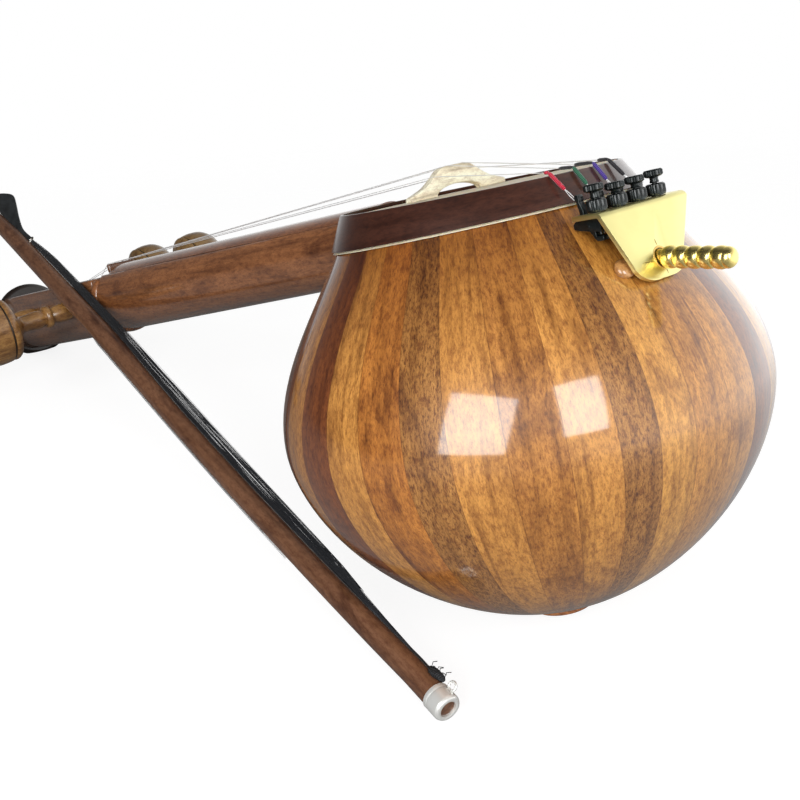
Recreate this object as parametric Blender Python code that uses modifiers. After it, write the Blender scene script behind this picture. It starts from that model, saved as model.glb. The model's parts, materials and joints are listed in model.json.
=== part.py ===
"""Kamancheh, a bowed spike fiddle, lying on its back on a table with its bow leaning on it.

The instrument is modelled in its own frame: X runs from the head to the tail, Z is square to the
skin and zero at the band's lower edge, and the bowl's axis is X = Y = 0. An empty then pitches it
until the foot disc and the head collar both touch the table.
"""
import bmesh
import bpy
from math import atan2, cos, exp, pi, radians, sin, sqrt
from mathutils import Matrix, Vector

MM = 0.001

# Fits
SEAT_GAP = 0.3 * MM
FINE_GAP = 0.2 * MM
GLUE_GAP = 0.1 * MM

# Bowl: staves glued in pairs
STAVE_PAIRS = 15
BOWL_RADIUS = 95.0 * MM
BOWL_RIM_RADIUS = 58.0 * MM
BOWL_WIDEST_DEPTH = 72.0 * MM
BOWL_DEPTH = 157.0 * MM
BOWL_WALL = 4.0 * MM
SHOULDER_POWER = 1.1
BELLY_POWER = 1.85
POLE_HOLE_RADIUS = 9.0 * MM

# Rim, skin and band
BAND_HEIGHT = 11.2 * MM
BAND_THICKNESS = 1.2 * MM
RIM_SLOPE = 0.57
RIM_FALL = 1.7  # share of the rim's height lost per metre towards the tail
SKIN_THICKNESS = 0.4 * MM
SKIN_HEM = 1.6 * MM

# Foot disc at the pole
FOOT_RADIUS = 12.8 * MM
FOOT_THICKNESS = 3.0 * MM
FOOT_TENON = 6.5 * MM

# Rod through the bowl and the tail spike on the same line
ROD_DROP_AT_PLATE = 22.9 * MM
ROD_PITCH = radians(6.1)
TAIL_OFFSET_Y = -2.5 * MM
ROD_RADIUS = 4.0 * MM
ROD_IN_NECK = 55.0 * MM
SPIKE_SHANK_RADIUS = 2.7 * MM
SPIKE_BEADS = 5
SPIKE_BEAD_RADIUS = 3.7 * MM
SPIKE_BEAD_PITCH = 4.6 * MM
SPIKE_WAIST_RADIUS = 2.5 * MM
SPIKE_TIP = 2.8 * MM

# Neck and fingerboard
NUT_X = -340.0 * MM
NECK_HEEL_X = -50.0 * MM
NECK_RADIUS_AT_HEEL = 16.0 * MM
NECK_RADIUS_AT_NUT = 21.3 * MM
NECK_AXIS_Z_AT_HEEL = -1.7 * MM
NECK_AXIS_Z_AT_NUT = -6.0 * MM
FINGERBOARD_THICKNESS = 4.6 * MM
NECK_BEAD_RADIUS = 22.9 * MM
NECK_BEAD_LENGTH = 8.0 * MM
NUT_LENGTH = 3.2 * MM
NUT_HALF_WIDTH = 11.0 * MM
NUT_RISE = 1.4 * MM

# Pegbox and head
PEGBOX_LENGTH = 182.0 * MM
PEGBOX_HALF_WIDTH = 19.5 * MM
PEGBOX_TOP_Z = 9.5 * MM
PEGBOX_BACK_Z_AT_NUT = -28.5 * MM
PEGBOX_BACK_Z_AT_HEAD = -34.0 * MM
PEGBOX_WALL = 7.5 * MM
PEGBOX_END_WALL = 12.0 * MM
CHANNEL_FLOOR_Z = -21.0 * MM
THROAT_Z = 8.0 * MM
THROAT_DROP = 6.0 * MM
COLLAR_RADIUS = 28.4 * MM
COLLAR_LENGTH = 9.0 * MM
HEAD_AXIS_Z = -11.0 * MM
FINIAL_RADIUS = 19.5 * MM
FINIAL_LENGTH = 44.0 * MM

# Tuning pegs: distance behind the nut, the side the knob stands on, and the far side's rise
PEG_PLACES = (
    (-46.0 * MM, -1, radians(3.0)), (-128.0 * MM, -1, radians(3.0)),
    (-141.0 * MM, 1, radians(7.5)), (-58.5 * MM, 1, radians(7.5)))
PEG_AXIS_Z = -5.7 * MM
PEG_SHAFT_RADIUS = 4.4 * MM
PEG_STEM_RADIUS = 5.4 * MM
PEG_STEM_SWELL = 1.15
PEG_BEAD_RADIUS = 7.6 * MM
PEG_KNOB_RADIUS = 21.0 * MM
PEG_BEAD_OUT = 41.0 * MM
PEG_KNOB_OUT = 66.0 * MM
PEG_KNOB_LENGTH = 37.0 * MM

# Bridge
BRIDGE_X = -12.0 * MM
BRIDGE_HALF_WIDTH = 25.0 * MM
BRIDGE_HEIGHT = 10.7 * MM
BRIDGE_ARCH_HEIGHT = 3.6 * MM
BRIDGE_ARCH_HALF_WIDTH = 12.0 * MM
BRIDGE_THICKNESS = 4.0 * MM

# Tail bracket
BRACKET_THICKNESS = 1.6 * MM
BRACKET_HALF_WIDTH = 22.5 * MM
FLANGE_TOP_Z = -4.2 * MM
FLANGE_FRONT_X = 62.8 * MM
FLANGE_LENGTH = 11.6 * MM
BEND_RADIUS = 2.6 * MM
PLATE_DROP = 25.0 * MM
PLATE_LEAN = radians(15.5)
PLATE_WAIST_HALF_WIDTH = 13.2 * MM
PLATE_FOOT_HALF_WIDTH = 3.6 * MM
PLATE_OFFSET_Y = -3.8 * MM
PLATE_HOLE_RADIUS = 3.2 * MM

# Fine tuners on the flange
TUNER_PITCH = 10.3 * MM
TUNER_SETBACK = 7.2 * MM
COLLAR_NUT_RADIUS = 3.0 * MM
COLLAR_NUT_HEIGHT = 4.2 * MM
TUNER_TUBE_RADIUS = 1.7 * MM
TUNER_SCREW_RADIUS = 0.9 * MM
TUNER_HEAD_RADIUS = 2.9 * MM
TUNER_HEAD_HEIGHT = 2.4 * MM
TUNER_HEAD_LIFTS = (2.2 * MM, 1.2 * MM, 1.5 * MM, 2.0 * MM)
TUNER_SCREW_REACH = 7.3 * MM
LEVER_THICKNESS = 2.6 * MM
LEVER_PIN_RADIUS = 0.6 * MM
LEVER_PIVOT_SETBACK = 4.3 * MM
LEVER_PIVOT_DROP = 4.3 * MM
SLOT_DEPTH = 3.2 * MM
HOOK_RISE = 9.6 * MM
HOOK_LEAN = 1.3 * MM

# Strings
STRING_RADII = (0.20 * MM, 0.22 * MM, 0.25 * MM, 0.28 * MM)
SILK_RADIUS = 0.75 * MM
STRING_SPACING_AT_NUT = 5.4 * MM
STRING_SPACING_AT_BRIDGE = 8.0 * MM

# Button beside the bracket
BUTTON_RADIUS = 2.9 * MM
BUTTON_RISE = 2.4 * MM
BUTTON_DEPTH_Z = -24.2 * MM
BUTTON_ANGLE = radians(-12.0)

# Rest pose on the table
REST_PITCH = radians(13.2)

# Bow
BOW_LENGTH = 655.0 * MM
BOW_RADIUS_LOW = 4.9 * MM
BOW_RADIUS_HIGH = 5.8 * MM
BOW_SIDES = 16
BOW_LOW_END = (30.2 * MM, -81.4 * MM)
BOW_ON_PEG = 26.3 * MM
BOW_REST_GAP = 0.55 * MM
BOW_ROLL = radians(39.0)
SWAY = 2.0 * MM
SWAY_START = 24.0 * MM
SWAY_END = 350.0 * MM
FERRULE_RADIUS = 5.4 * MM
FERRULE_LENGTH = 11.0 * MM
BOW_PLUG_RADIUS = 3.2 * MM
HAIR_START = 21.0 * MM
HAIR_GATHER = 480.0 * MM
HAIR_END = 527.0 * MM
HAIR_THICKNESS = 2.4 * MM
HAIR_WIDTH_LOW = 1.2 * MM
HAIR_WIDTH_HIGH = 7.3 * MM
HAIR_SPREAD = 90.0 * MM
HAIR_END_OFFSET = 9.2 * MM
HAIR_END_WIDTH = 3.4 * MM
KNOT_LENGTH = 7.0 * MM
KNOT_WALL = 1.3 * MM
RING_RADIUS = 2.3 * MM
RING_WIRE = 0.7 * MM
STRAP_LENGTH = 112.0 * MM
STRAP_WIDTH = 18.0 * MM
STRAP_THICKNESS = 2.6 * MM
EYE_RADIUS = 1.6 * MM
EYE_WIRE = 0.45 * MM


def clear_scene():
    """Remove every object that the file starts with."""
    for thing in list(bpy.data.objects):
        bpy.data.objects.remove(thing, do_unlink=True)


def new_collection(name):
    """A collection linked to the scene."""
    group = bpy.data.collections.new(name)
    bpy.context.scene.collection.children.link(group)
    return group


def principled(name, colour, roughness, metallic=0.0):
    """One Principled material."""
    material = bpy.data.materials.new(name)
    material.use_nodes = True
    shader = material.node_tree.nodes["Principled BSDF"]
    shader.inputs["Base Color"].default_value = (*colour, 1.0)
    shader.inputs["Roughness"].default_value = roughness
    shader.inputs["Metallic"].default_value = metallic
    material.diffuse_color = (*colour, 1.0)
    return material


class Maker:
    """Keeps the collections, the parent empties and the finish of each piece."""

    def __init__(self):
        self.parts = new_collection("kamancheh")
        self.cutters = new_collection("cutters")
        self.stand = self.empty("table_place", None)
        self.instrument = self.empty("instrument_frame", self.stand)
        self.bow = self.empty("bow_frame", self.stand)

    def empty(self, name, parent):
        """A parent empty."""
        thing = bpy.data.objects.new(name, None)
        self.parts.objects.link(thing)
        thing.parent = parent
        return thing

    def part(self, name, mesh, finish, parent=None, matrix=None):
        """A named solid with its own material."""
        thing = bpy.data.objects.new(name, mesh)
        self.parts.objects.link(thing)
        thing.parent = parent or self.instrument
        if matrix is not None:
            thing.matrix_local = matrix
        mesh.materials.clear()
        mesh.materials.append(principled(name, *finish))
        return thing

    def cut(self, thing, mesh, matrix=None, operation="DIFFERENCE"):
        """Cut or join a solid with another mesh by an exact Boolean."""
        cutter = bpy.data.objects.new("cutter_" + thing.name, mesh)
        self.cutters.objects.link(cutter)
        cutter.parent = thing.parent
        if matrix is not None:
            cutter.matrix_local = matrix
        cutter.hide_render = True
        cutter.display_type = "WIRE"
        boolean = thing.modifiers.new("cut", "BOOLEAN")
        boolean.operation = operation
        boolean.object = cutter
        return cutter


WALNUT = ((0.20, 0.08, 0.04), 0.3)
DARK_WALNUT = ((0.09, 0.035, 0.02), 0.3)
MULBERRY = ((0.42, 0.20, 0.07), 0.3)
BOXWOOD = ((0.50, 0.30, 0.14), 0.4)
EBONY = ((0.012, 0.010, 0.009), 0.25)
BONE = ((0.85, 0.76, 0.58), 0.4)
RAWHIDE = ((0.78, 0.68, 0.48), 0.6)
BRASS = ((0.78, 0.60, 0.24), 0.3, 1.0)
STEEL = ((0.62, 0.62, 0.64), 0.3, 1.0)
NICKEL = ((0.72, 0.72, 0.70), 0.25, 1.0)
BLACK_METAL = ((0.015, 0.016, 0.018), 0.4, 0.6)
HORSEHAIR = ((0.012, 0.012, 0.014), 0.6)
BLACK_LEATHER = ((0.02, 0.02, 0.022), 0.7)


def finish_mesh(bm, name, sharp=40.0):
    """Turn a bmesh into a mesh whose faces point out and whose round faces are smooth."""
    bmesh.ops.recalc_face_normals(bm, faces=bm.faces)
    mesh = bpy.data.meshes.new(name)
    bm.to_mesh(mesh)
    bm.free()
    mesh.shade_smooth()
    mesh.set_sharp_from_angle(angle=radians(sharp))
    return mesh


def box_mesh(name, low, high, bevel=0.0, segments=2, only=None):
    """A box between two corners, with the edges that only() picks bevelled."""
    bm = bmesh.new()
    bmesh.ops.create_cube(bm, size=1.0)
    low, high = Vector(low), Vector(high)
    bmesh.ops.scale(bm, vec=high - low, verts=bm.verts)
    bmesh.ops.translate(bm, vec=(low + high) / 2, verts=bm.verts)
    if bevel:
        edges = [edge for edge in bm.edges if only is None or only(edge)]
        bmesh.ops.bevel(bm, geom=edges, offset=bevel, segments=segments, profile=0.5, affect="EDGES")
    return finish_mesh(bm, name)


def turned_mesh(name, profile, sides):
    """Revolve (radius, height) points, given from the top down, about local Z."""
    bm = bmesh.new()
    closed = profile[0][0] > 0.0
    points = [bm.verts.new((radius, 0.0, height)) for radius, height in profile]
    for first, second in zip(points, points[1:]):
        bm.edges.new((first, second))
    if closed:
        bm.edges.new((points[-1], points[0]))
    bmesh.ops.spin(
        bm, geom=bm.verts[:] + bm.edges[:], cent=(0, 0, 0), axis=(0, 0, 1), angle=2 * pi,
        steps=sides, use_merge=True, use_duplicate=False)
    bmesh.ops.remove_doubles(bm, verts=bm.verts, dist=1e-6)
    bmesh.ops.dissolve_degenerate(bm, dist=1e-7, edges=bm.edges)
    return finish_mesh(bm, name, 35.0)


def rod_mesh(name, radius, bottom, top, sides=24):
    """A plain round rod along local Z."""
    return turned_mesh(name, [(0.0, top), (radius, top), (radius, bottom), (0.0, bottom)], sides)


def outline_mesh(name, outline, thickness):
    """A flat outline in local XY with a thickness centred on Z, from a filled 2D curve."""
    curve = bpy.data.curves.new(name, "CURVE")
    curve.dimensions = "2D"
    curve.fill_mode = "BOTH"
    curve.extrude = thickness / 2
    spline = curve.splines.new("POLY")
    spline.points.add(len(outline) - 1)
    for point, place in zip(spline.points, outline):
        point.co = (place[0], place[1], 0.0, 1.0)
    spline.use_cyclic_u = True
    return mesh_from_curve(name, curve)


def mesh_from_curve(name, curve):
    """Turn a curve into a closed mesh with welded caps."""
    holder = bpy.data.objects.new(name + "_curve", curve)
    bpy.context.scene.collection.objects.link(holder)
    graph = bpy.context.evaluated_depsgraph_get()
    rough = bpy.data.meshes.new_from_object(holder.evaluated_get(graph))
    bpy.data.objects.remove(holder, do_unlink=True)
    bm = bmesh.new()
    bm.from_mesh(rough)
    bpy.data.meshes.remove(rough)
    bmesh.ops.remove_doubles(bm, verts=bm.verts, dist=1e-6)
    return finish_mesh(bm, name)


def tube_mesh(name, points, radii, bevel_resolution=2):
    """A tube along hand-placed points, with a radius at each."""
    widest = max(radii)
    curve = bpy.data.curves.new(name, "CURVE")
    curve.dimensions = "3D"
    curve.bevel_depth = widest
    curve.bevel_resolution = bevel_resolution
    curve.use_fill_caps = True
    spline = curve.splines.new("POLY")
    spline.points.add(len(points) - 1)
    for point, place, radius in zip(spline.points, points, radii):
        point.co = (*place, 1.0)
        point.radius = radius / widest
    return mesh_from_curve(name, curve)


def loft_mesh(name, rings):
    """A closed solid through rings of points, for shapes between unlike sections."""
    bm = bmesh.new()
    loops = [[bm.verts.new(point) for point in ring] for ring in rings]
    for low, high in zip(loops, loops[1:]):
        for index in range(len(low)):
            after = (index + 1) % len(low)
            bm.faces.new((low[index], low[after], high[after], high[index]))
    bm.faces.new(loops[0])
    bm.faces.new(loops[-1])
    return finish_mesh(bm, name, 50.0)


def along(origin, direction, up=(0, 0, 1)):
    """A matrix whose local Z runs along a direction from a point, with local X near up."""
    z_axis = Vector(direction).normalized()
    x_axis = Vector(up) - z_axis * Vector(up).dot(z_axis)
    if x_axis.length < 1e-6:
        x_axis = Vector((1, 0, 0)) - z_axis * z_axis.x
    x_axis.normalize()
    y_axis = z_axis.cross(x_axis)
    turn = Matrix((x_axis, y_axis, z_axis)).transposed().to_4x4()
    return Matrix.Translation(origin) @ turn


def bowl_radius(z, inset=0.0):
    """Outer radius of the bowl at a height, or of the same form set in by a wall."""
    if z >= 0.0:
        return BOWL_RIM_RADIUS - inset - RIM_SLOPE * z
    if z >= -BOWL_WIDEST_DEPTH:
        share = sin(pi / 2 * -z / BOWL_WIDEST_DEPTH) ** SHOULDER_POWER
        return BOWL_RIM_RADIUS - inset + (BOWL_RADIUS - BOWL_RIM_RADIUS) * share
    share = (-z - BOWL_WIDEST_DEPTH) / (BOWL_DEPTH - inset - BOWL_WIDEST_DEPTH)
    return (BOWL_RADIUS - inset) * max(0.0, 1.0 - share ** BELLY_POWER) ** (1.0 / BELLY_POWER)


def bowl_profile(top, inset=0.0, shoulder_steps=7, belly_steps=9, end_radius=POLE_HOLE_RADIUS):
    """Points of the bowl's outline from the rim down to a small radius at the pole."""
    points = [(bowl_radius(top, inset), top)]
    for step in range(shoulder_steps):
        z = -BOWL_WIDEST_DEPTH * step / shoulder_steps
        points.append((bowl_radius(z, inset), z))
    belly = BOWL_DEPTH - inset - BOWL_WIDEST_DEPTH
    widest = BOWL_RADIUS - inset
    last = (1.0 - (end_radius / widest) ** BELLY_POWER) ** (1.0 / BELLY_POWER)
    for step in range(belly_steps + 1):
        share = last * sin(pi / 2 * step / belly_steps)
        z = -BOWL_WIDEST_DEPTH - belly * share
        points.append((bowl_radius(z, inset) if step < belly_steps else end_radius, z))
    return points


def rod_z(x):
    """Height of the rod's line, which also carries the spike, at a place along the instrument."""
    return -ROD_DROP_AT_PLATE - (x - plate_outer_x(-ROD_DROP_AT_PLATE)) * sin(ROD_PITCH) / cos(ROD_PITCH)


def rod_matrix(x):
    """Frame on the rod's line whose local Z points to the tail."""
    return along((x, TAIL_OFFSET_Y, rod_z(x)), (cos(ROD_PITCH), 0.0, -sin(ROD_PITCH)))


def plate_outer_x(z):
    """Where the leaning plate's outer face is at a height."""
    bend_x = FLANGE_FRONT_X + FLANGE_LENGTH
    return bend_x + (FLANGE_TOP_Z - z) * sin(PLATE_LEAN) / cos(PLATE_LEAN)


def stave_pair_mesh(name):
    """Two neighbouring staves glued together, as one curved wedge of the bowl's wall."""
    outer = bowl_profile(rim_top_z())
    inner = bowl_profile(rim_top_z(), BOWL_WALL, 3, 4)
    outline = outer + inner[::-1]
    span = 2 * pi / STAVE_PAIRS
    bm = bmesh.new()
    corners = [bm.verts.new((radius * cos(-span / 2), radius * sin(-span / 2), z)) for radius, z in outline]
    face = bm.faces.new(corners)
    bmesh.ops.spin(
        bm, geom=[face] + face.edges[:] + face.verts[:], cent=(0, 0, 0), axis=(0, 0, 1),
        angle=span, steps=4, use_duplicate=False)
    for vert in bm.verts:
        turn = atan2(vert.co.y, vert.co.x)
        if abs(abs(turn) - span / 2) < 1e-4:
            side = 1.0 if turn > 0 else -1.0
            vert.co.x += sin(span / 2) * GLUE_GAP / 2
            vert.co.y -= side * cos(span / 2) * GLUE_GAP / 2
    return finish_mesh(bm, name)


def rim_fall(x):
    """Share of its height that the rim keeps at a place along the instrument, whole under the bridge."""
    return 1.0 - RIM_FALL * (x - BRIDGE_X)


def slope_rim(mesh, turn=0.0):
    """Turn a mesh round the bowl's axis, then lower what stands over the band's lower edge towards the tail."""
    mesh.transform(Matrix.Rotation(turn, 4, "Z"))
    for vert in mesh.vertices:
        if vert.co.z > 0.0:
            vert.co.z *= rim_fall(vert.co.x)
    return mesh


def rim_top_z():
    """Top of the wooden rim under the skin, below the bridge."""
    return BAND_HEIGHT - SEAT_GAP - SKIN_THICKNESS + 0.1 * MM


def skin_top_z():
    """Top face of the skin."""
    return rim_top_z() + SEAT_GAP + SKIN_THICKNESS


def build_bowl(maker):
    """Fifteen pairs of staves round the axis, with half holes where the rod passes."""
    for index in range(STAVE_PAIRS):
        turn = 2 * pi * index / STAVE_PAIRS
        mesh = stave_pair_mesh("stave_pair_%02d" % (index + 1))
        shade = 0.75 + 0.5 * ((index * 7) % 5) / 4
        colour = tuple(part * shade for part in MULBERRY[0])
        stave = maker.part(mesh.name, slope_rim(mesh, turn), (colour, MULBERRY[1]))
        crosses_rod = abs(sin(turn)) * BOWL_RADIUS < 0.25 * BOWL_RADIUS
        if crosses_rod:
            x = BOWL_RADIUS * (1 if cos(turn) > 0 else -1)
            hole = rod_mesh("rod_hole", ROD_RADIUS + SEAT_GAP, -BOWL_RADIUS / 2, BOWL_RADIUS / 2)
            maker.cut(stave, hole, rod_matrix(x * 0.75))


def build_foot(maker):
    """The turned disc at the pole, with a tenon up into the staves."""
    top = -BOWL_DEPTH
    bottom = top - FOOT_THICKNESS
    tenon = POLE_HOLE_RADIUS - SEAT_GAP
    profile = [
        (0.0, top + FOOT_TENON), (tenon, top + FOOT_TENON), (tenon, top), (FOOT_RADIUS - 0.6 * MM, top),
        (FOOT_RADIUS, top - 0.8 * MM), (FOOT_RADIUS, bottom), (0.0, bottom)]
    maker.part("foot_disc", turned_mesh("foot_disc", profile, 32), WALNUT)


def build_skin_and_band(maker):
    """The rawhide cup over the rim and the veneer band glued round it."""
    out = SEAT_GAP
    thick = SKIN_THICKNESS
    top = skin_top_z()
    under = top - thick
    profile = [
        (0.0, top), (bowl_radius(under) + out, top), (bowl_radius(under) + out + thick, under),
        (bowl_radius(0.0) + out + thick, 0.0), (bowl_radius(-SKIN_HEM) + out + thick, -SKIN_HEM),
        (bowl_radius(-SKIN_HEM) + out, -SKIN_HEM), (bowl_radius(0.0) + out, 0.0),
        (bowl_radius(under) + out, under), (0.0, under)]
    maker.part("skin", slope_rim(turned_mesh("skin", profile, 48)), RAWHIDE)
    inner = 2 * out + thick
    outer = inner + BAND_THICKNESS
    profile = [
        (bowl_radius(BAND_HEIGHT) + inner, BAND_HEIGHT), (bowl_radius(BAND_HEIGHT) + outer, BAND_HEIGHT),
        (bowl_radius(0.0) + outer, 0.0), (bowl_radius(0.0) + inner, 0.0)]
    maker.part("rim_band", slope_rim(turned_mesh("rim_band", profile, 48)), DARK_WALNUT)


def band_outer_radius(z):
    """Outer face of the band, or of the bowl below it, with the clearance of what meets it."""
    if z >= 0.0:
        return bowl_radius(z) + 2 * SEAT_GAP + SKIN_THICKNESS + BAND_THICKNESS
    if z >= -SKIN_HEM:
        return bowl_radius(z) + 2 * SEAT_GAP + SKIN_THICKNESS
    return bowl_radius(z)


def bowl_envelope():
    """The bowl, hem and band as one solid, grown by a seat's clearance, to fit the heel round it."""
    high = BAND_HEIGHT + SEAT_GAP
    heights = [high, SEAT_GAP - SEAT_GAP, -SKIN_HEM - SEAT_GAP]
    heights += [-step * 5 * MM for step in range(1, 12)]
    points = [(0.0, high), (band_outer_radius(high) + SEAT_GAP, high)]
    points += [(band_outer_radius(0.0) + SEAT_GAP, -SEAT_GAP)]
    points += [(bowl_radius(-SKIN_HEM) + SKIN_THICKNESS + 2 * SEAT_GAP, -SKIN_HEM - SEAT_GAP)]
    points += [(bowl_radius(z) + SEAT_GAP, z) for z in heights[3:]]
    points += [(0.0, heights[-1])]
    return slope_rim(turned_mesh("bowl_envelope", points, 60))


def neck_axis(x):
    """Height of the neck's axis and the neck's radius at a place along it."""
    share = (x - NECK_HEEL_X) / (NUT_X - NECK_HEEL_X)
    z = NECK_AXIS_Z_AT_HEEL + (NECK_AXIS_Z_AT_NUT - NECK_AXIS_Z_AT_HEEL) * share
    radius = NECK_RADIUS_AT_HEEL + (NECK_RADIUS_AT_NUT - NECK_RADIUS_AT_HEEL) * share
    return z, radius


def neck_matrix():
    """Frame at the heel whose local Z runs along the neck to the head."""
    low, high = neck_axis(NECK_HEEL_X)[0], neck_axis(NUT_X)[0]
    return along((NECK_HEEL_X, 0.0, low), (NUT_X - NECK_HEEL_X, 0.0, high - low))


def deck_z(x):
    """Height of the joint between the neck and the fingerboard."""
    z, radius = neck_axis(x)
    return z + radius - FINGERBOARD_THICKNESS


def above_deck(start, end, lift):
    """A block over the slanting joint, for cutting the neck's top flat."""
    wide = 60 * MM
    tall = 60 * MM
    rings = []
    for x in (start, end):
        low = deck_z(x) + lift
        rings.append([(x, -wide, low), (x, wide, low), (x, wide, low + tall), (x, -wide, low + tall)])
    return loft_mesh("above_deck", rings)


def build_neck(maker):
    """The turned neck with its end bead, and the fingerboard that is the top slice of the same cone."""
    length = (neck_matrix().inverted() @ Vector((NUT_X, 0.0, NECK_AXIS_Z_AT_NUT))).z
    end = length + NUT_LENGTH + SEAT_GAP
    bead = NECK_BEAD_RADIUS
    half = NECK_BEAD_LENGTH / 2
    profile = [(0.0, end + 2 * half)]
    for step in range(5):
        angle = pi / 2 - pi * step / 4
        swell = (bead - NECK_RADIUS_AT_NUT) * cos(angle)
        profile.append((NECK_RADIUS_AT_NUT + swell, end + half + half * sin(angle)))
    profile += [(NECK_RADIUS_AT_HEEL, 0.0), (0.0, 0.0)]
    neck = maker.part("neck", turned_mesh("neck", profile, 40), WALNUT, matrix=neck_matrix())
    maker.cut(neck, bowl_envelope())
    maker.cut(neck, above_deck(NECK_HEEL_X + 30 * MM, NUT_X - 40 * MM, 0.0))
    behind_nut = NUT_X - NUT_LENGTH - 2 * SEAT_GAP
    low = (behind_nut - 40 * MM, -40 * MM, THROAT_Z)
    maker.cut(neck, box_mesh("behind_nut", low, (behind_nut, 40 * MM, 40 * MM)))
    socket = rod_mesh("rod_socket", ROD_RADIUS + SEAT_GAP, -ROD_IN_NECK - 1 * MM, 60 * MM)
    maker.cut(neck, socket, rod_matrix(-bowl_radius(rod_z(-60 * MM))))

    far = length - 2 * SEAT_GAP
    cone = [(0.0, far), (NECK_RADIUS_AT_NUT, far), (NECK_RADIUS_AT_HEEL, 0.0), (0.0, 0.0)]
    board = maker.part("fingerboard", turned_mesh("fingerboard", cone, 40), DARK_WALNUT, matrix=neck_matrix())
    maker.cut(board, above_deck(NECK_HEEL_X + 40 * MM, NUT_X - 60 * MM, SEAT_GAP / 2), operation="INTERSECT")
    maker.cut(board, bowl_envelope())

    z, radius = neck_axis(NUT_X)
    low = deck_z(NUT_X) + SEAT_GAP
    high = z + radius + NUT_RISE
    nut = box_mesh(
        "nut", (NUT_X - SEAT_GAP - NUT_LENGTH, -NUT_HALF_WIDTH, low), (NUT_X - SEAT_GAP, NUT_HALF_WIDTH, high),
        0.5 * MM)
    maker.part("nut", nut, DARK_WALNUT)


def pegbox_start():
    """The pegbox's face that meets the neck's bead."""
    return NUT_X - NUT_LENGTH - NECK_BEAD_LENGTH - 2 * SEAT_GAP - 1.2 * MM


def pegbox_back_z(x):
    """Height of the pegbox's back, which deepens towards the head."""
    share = (pegbox_start() - x) / PEGBOX_LENGTH
    return PEGBOX_BACK_Z_AT_NUT + (PEGBOX_BACK_Z_AT_HEAD - PEGBOX_BACK_Z_AT_NUT) * share


def pegbox_section(x, half_width):
    """Section of the pegbox: flat top, upright cheeks and a rounded back."""
    back = pegbox_back_z(x)
    corner = 15.0 * MM
    easing = 2.0 * MM
    ring = [(x, -half_width + easing, PEGBOX_TOP_Z), (x, -half_width, PEGBOX_TOP_Z - easing)]
    for step in range(5):
        angle = pi + pi / 2 * step / 4
        ring.append((x, -half_width + corner + corner * cos(angle), back + corner + corner * sin(angle)))
    mirrored = [(x, -y, z) for x, y, z in ring[::-1]]
    return ring + mirrored


def build_pegbox(maker):
    """The pegbox with its open channel and two bores for each peg."""
    start = pegbox_start()
    end = start - PEGBOX_LENGTH
    rings = [pegbox_section(start, PEGBOX_HALF_WIDTH - 1.0 * MM)]
    rings.append(pegbox_section(start - 4 * MM, PEGBOX_HALF_WIDTH))
    rings.append(pegbox_section(end, PEGBOX_HALF_WIDTH))
    pegbox = maker.part("pegbox", loft_mesh("pegbox", rings), WALNUT)
    channel = PEGBOX_HALF_WIDTH - PEGBOX_WALL
    low = (end + PEGBOX_END_WALL, -channel, CHANNEL_FLOOR_Z)
    high = (start - PEGBOX_WALL, channel, PEGBOX_TOP_Z + 20 * MM)
    maker.cut(pegbox, box_mesh("channel", low, high))
    throat_low = (start - PEGBOX_WALL - 1 * MM, -channel, THROAT_Z - THROAT_DROP)
    throat_high = (start + 5 * MM, channel, PEGBOX_TOP_Z + 20 * MM)
    maker.cut(pegbox, box_mesh("throat", throat_low, throat_high))
    for number in range(len(PEG_PLACES)):
        bore = rod_mesh("peg_bore", PEG_SHAFT_RADIUS + SEAT_GAP, -40 * MM, 40 * MM, 16)
        maker.cut(pegbox, bore, peg_matrix(number))


def head_x():
    """The face of the dark collar that meets the pegbox."""
    return pegbox_start() - PEGBOX_LENGTH - SEAT_GAP


def table_block():
    """Everything under the table's surface, in the instrument's frame."""
    tilt = Matrix.Rotation(REST_PITCH, 4, "Y")
    contact = Vector((-FOOT_RADIUS, 0.0, -BOWL_DEPTH - FOOT_THICKNESS))
    mesh = box_mesh("table_block", (-0.8, -0.1, -0.1), (0.05, 0.1, 0.0))
    return mesh, Matrix.Translation(contact) @ tilt


def build_head(maker):
    """The dark collar, planed flat on its back where it lies on the table, and the turned finial."""
    radius, length = COLLAR_RADIUS, COLLAR_LENGTH
    profile = [(0.0, length)]
    for step in range(7):
        angle = pi / 2 - pi * step / 6
        profile.append((radius - 3.5 * MM + 3.5 * MM * cos(angle), length / 2 + length / 2 * sin(angle)))
    profile.append((0.0, 0.0))
    place = along((head_x(), 0.0, HEAD_AXIS_Z), (-1.0, 0.0, 0.0))
    collar = maker.part("head_collar", turned_mesh("head_collar", profile, 40), EBONY, matrix=place)
    maker.cut(collar, *table_block())

    profile = [(0.0, FINIAL_LENGTH)]
    for step in range(1, 8):
        angle = pi / 2 - pi / 2 * step / 7
        profile.append((FINIAL_RADIUS * cos(angle) ** 0.9, 12 * MM + (FINIAL_LENGTH - 12 * MM) * sin(angle)))
    waist = FINIAL_RADIUS - 4.5 * MM
    profile += [(waist, 7 * MM), (waist, 4 * MM), (FINIAL_RADIUS - 1 * MM, 1 * MM), (FINIAL_RADIUS - 1 * MM, 0.0)]
    profile.append((0.0, 0.0))
    start = head_x() - COLLAR_LENGTH - SEAT_GAP
    place = along((start, 0.0, HEAD_AXIS_Z), (-1.0, 0.0, 0.0))
    maker.part("finial", turned_mesh("finial", profile, 24), BOXWOOD, matrix=place)


def peg_matrix(number):
    """Frame of a peg on the pegbox's middle plane, with local Z out through its knob."""
    setback, side, rake = PEG_PLACES[number]
    direction = Vector((0.0, cos(rake), sin(rake))) * side
    return along((NUT_X + setback, 0.0, PEG_AXIS_Z), direction)


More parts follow.
